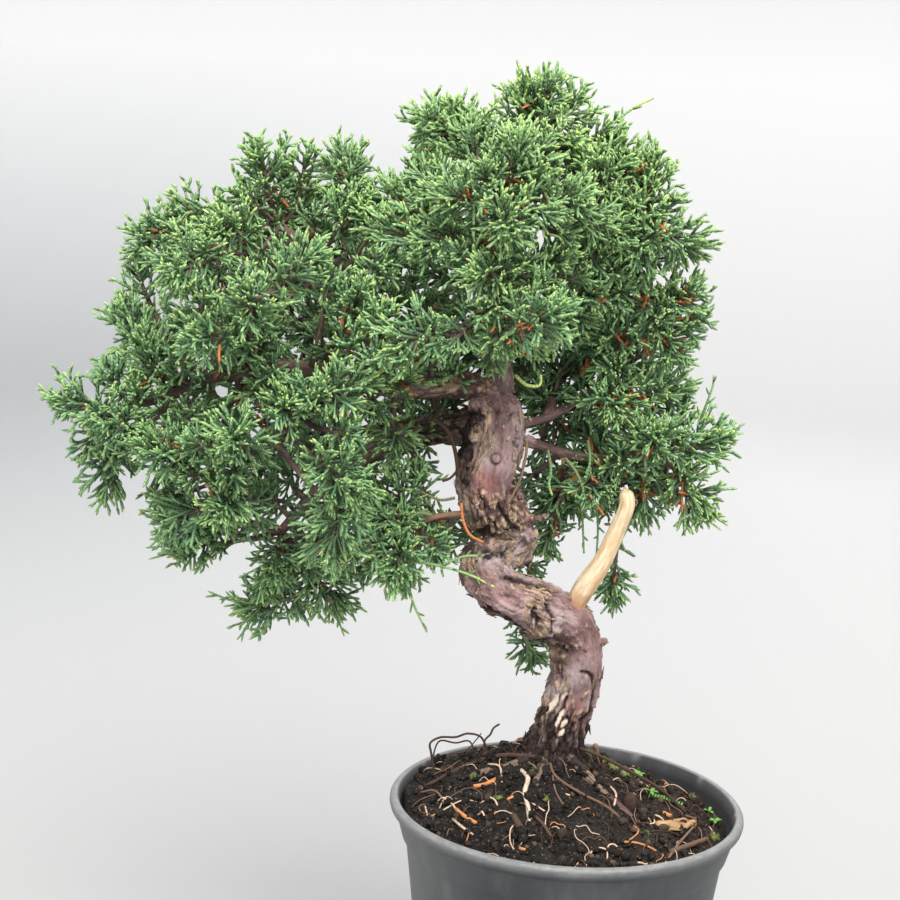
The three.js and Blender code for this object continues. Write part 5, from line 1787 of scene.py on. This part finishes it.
def make_stage():
    """A round floor that bends up into a wall."""
    bend, foot, floor = STAGE["bend"], STAGE["radius"] - STAGE["bend"], STAGE["floor"]
    profile = [[0, floor], [foot, floor]]
    for turn in np.linspace(0, math.pi / 2, 12)[1:]:
        profile.append([foot + bend * math.sin(turn), bend + floor - bend * math.cos(turn)])
    rows = np.array([*profile, [STAGE["radius"], STAGE["height"]]], float)
    rings = len(rows) - 1
    points = np.vstack([revolved(rows[1:], STAGE["sides"]), [[0, 0, floor]]])
    quads, side, after = bands(rings, STAGE["sides"])
    faces = [quads[:, ::-1], fan(side, after, rings * STAGE["sides"])]
    mesh = make_mesh("studio_cove", shape(points, faces))
    mesh.materials.append(cove_finish())
    cove = add_object("studio_cove", mesh)
    cove.visible_shadow = False


def add_light(name, place, size, power, colour):
    data = bpy.data.lights.new(name, "AREA")
    data.shape = "DISK"
    data.size = size
    data.energy = power
    data.color = colour
    lamp = add_object(name, data)
    lamp.location = place
    lamp.rotation_euler = (Vector(LIGHT_TARGET) - lamp.location).to_track_quat("-Z", "Y").to_euler()


def make_light():
    world = bpy.data.worlds.new("studio")
    bpy.context.scene.world = world
    world.use_nodes = True
    back = world.node_tree.nodes["Background"]
    back.inputs[0].default_value = SKY["colour"]
    back.inputs[1].default_value = SKY["strength"]
    for name, settings in LIGHTS.items():
        add_light(name, *settings)
    bpy.context.scene.view_settings.view_transform = "Standard"


def make_camera():
    data = bpy.data.cameras.new("camera")
    data.lens = CAMERA_LENS
    data.sensor_width = CAMERA_SENSOR
    data.clip_start = 0.01
    camera = add_object("camera", data)
    pitch, roll = math.radians(CAMERA_PITCH), math.radians(CAMERA_ROLL)
    forward = Vector((0, math.cos(pitch), -math.sin(pitch)))
    right = Vector((1, 0, 0))
    above = right.cross(forward)
    across = right * math.cos(roll) + above * math.sin(roll)
    upward = above * math.cos(roll) - right * math.sin(roll)
    turn = Matrix((across, upward, -forward)).transposed().to_4x4()
    camera.matrix_world = Matrix.Translation(Vector(CAMERA_PLACE) * MM) @ turn
    bpy.context.scene.camera = camera


def seeded(name):
    return np.random.default_rng(SEEDS[name])


make_camera()
make_stage()
make_light()
make_pot()
make_soil(seeded("soil"))
bark = bark_finish()
make_trunk(seeded("trunk"), bark)
foliage = foliage_finish()
limb_lines = [limb_rows(name, LIMB_STEP) for name in LIMBS]
twig_lines = make_foliage(foliage, limb_lines)
twig_lines += make_inner_foliage(foliage)
twig_lines += make_fillers(foliage, limb_lines)
twig_lines += make_bridges(foliage, limb_lines)
make_limbs(seeded("limbs"), twig_lines, bark)
make_jin(seeded("jin"))
make_chip(seeded("chip"))
litter = root_finish()
make_litter(seeded("litter"), litter)
make_hand_twigs(seeded("twigs"), foliage, litter)
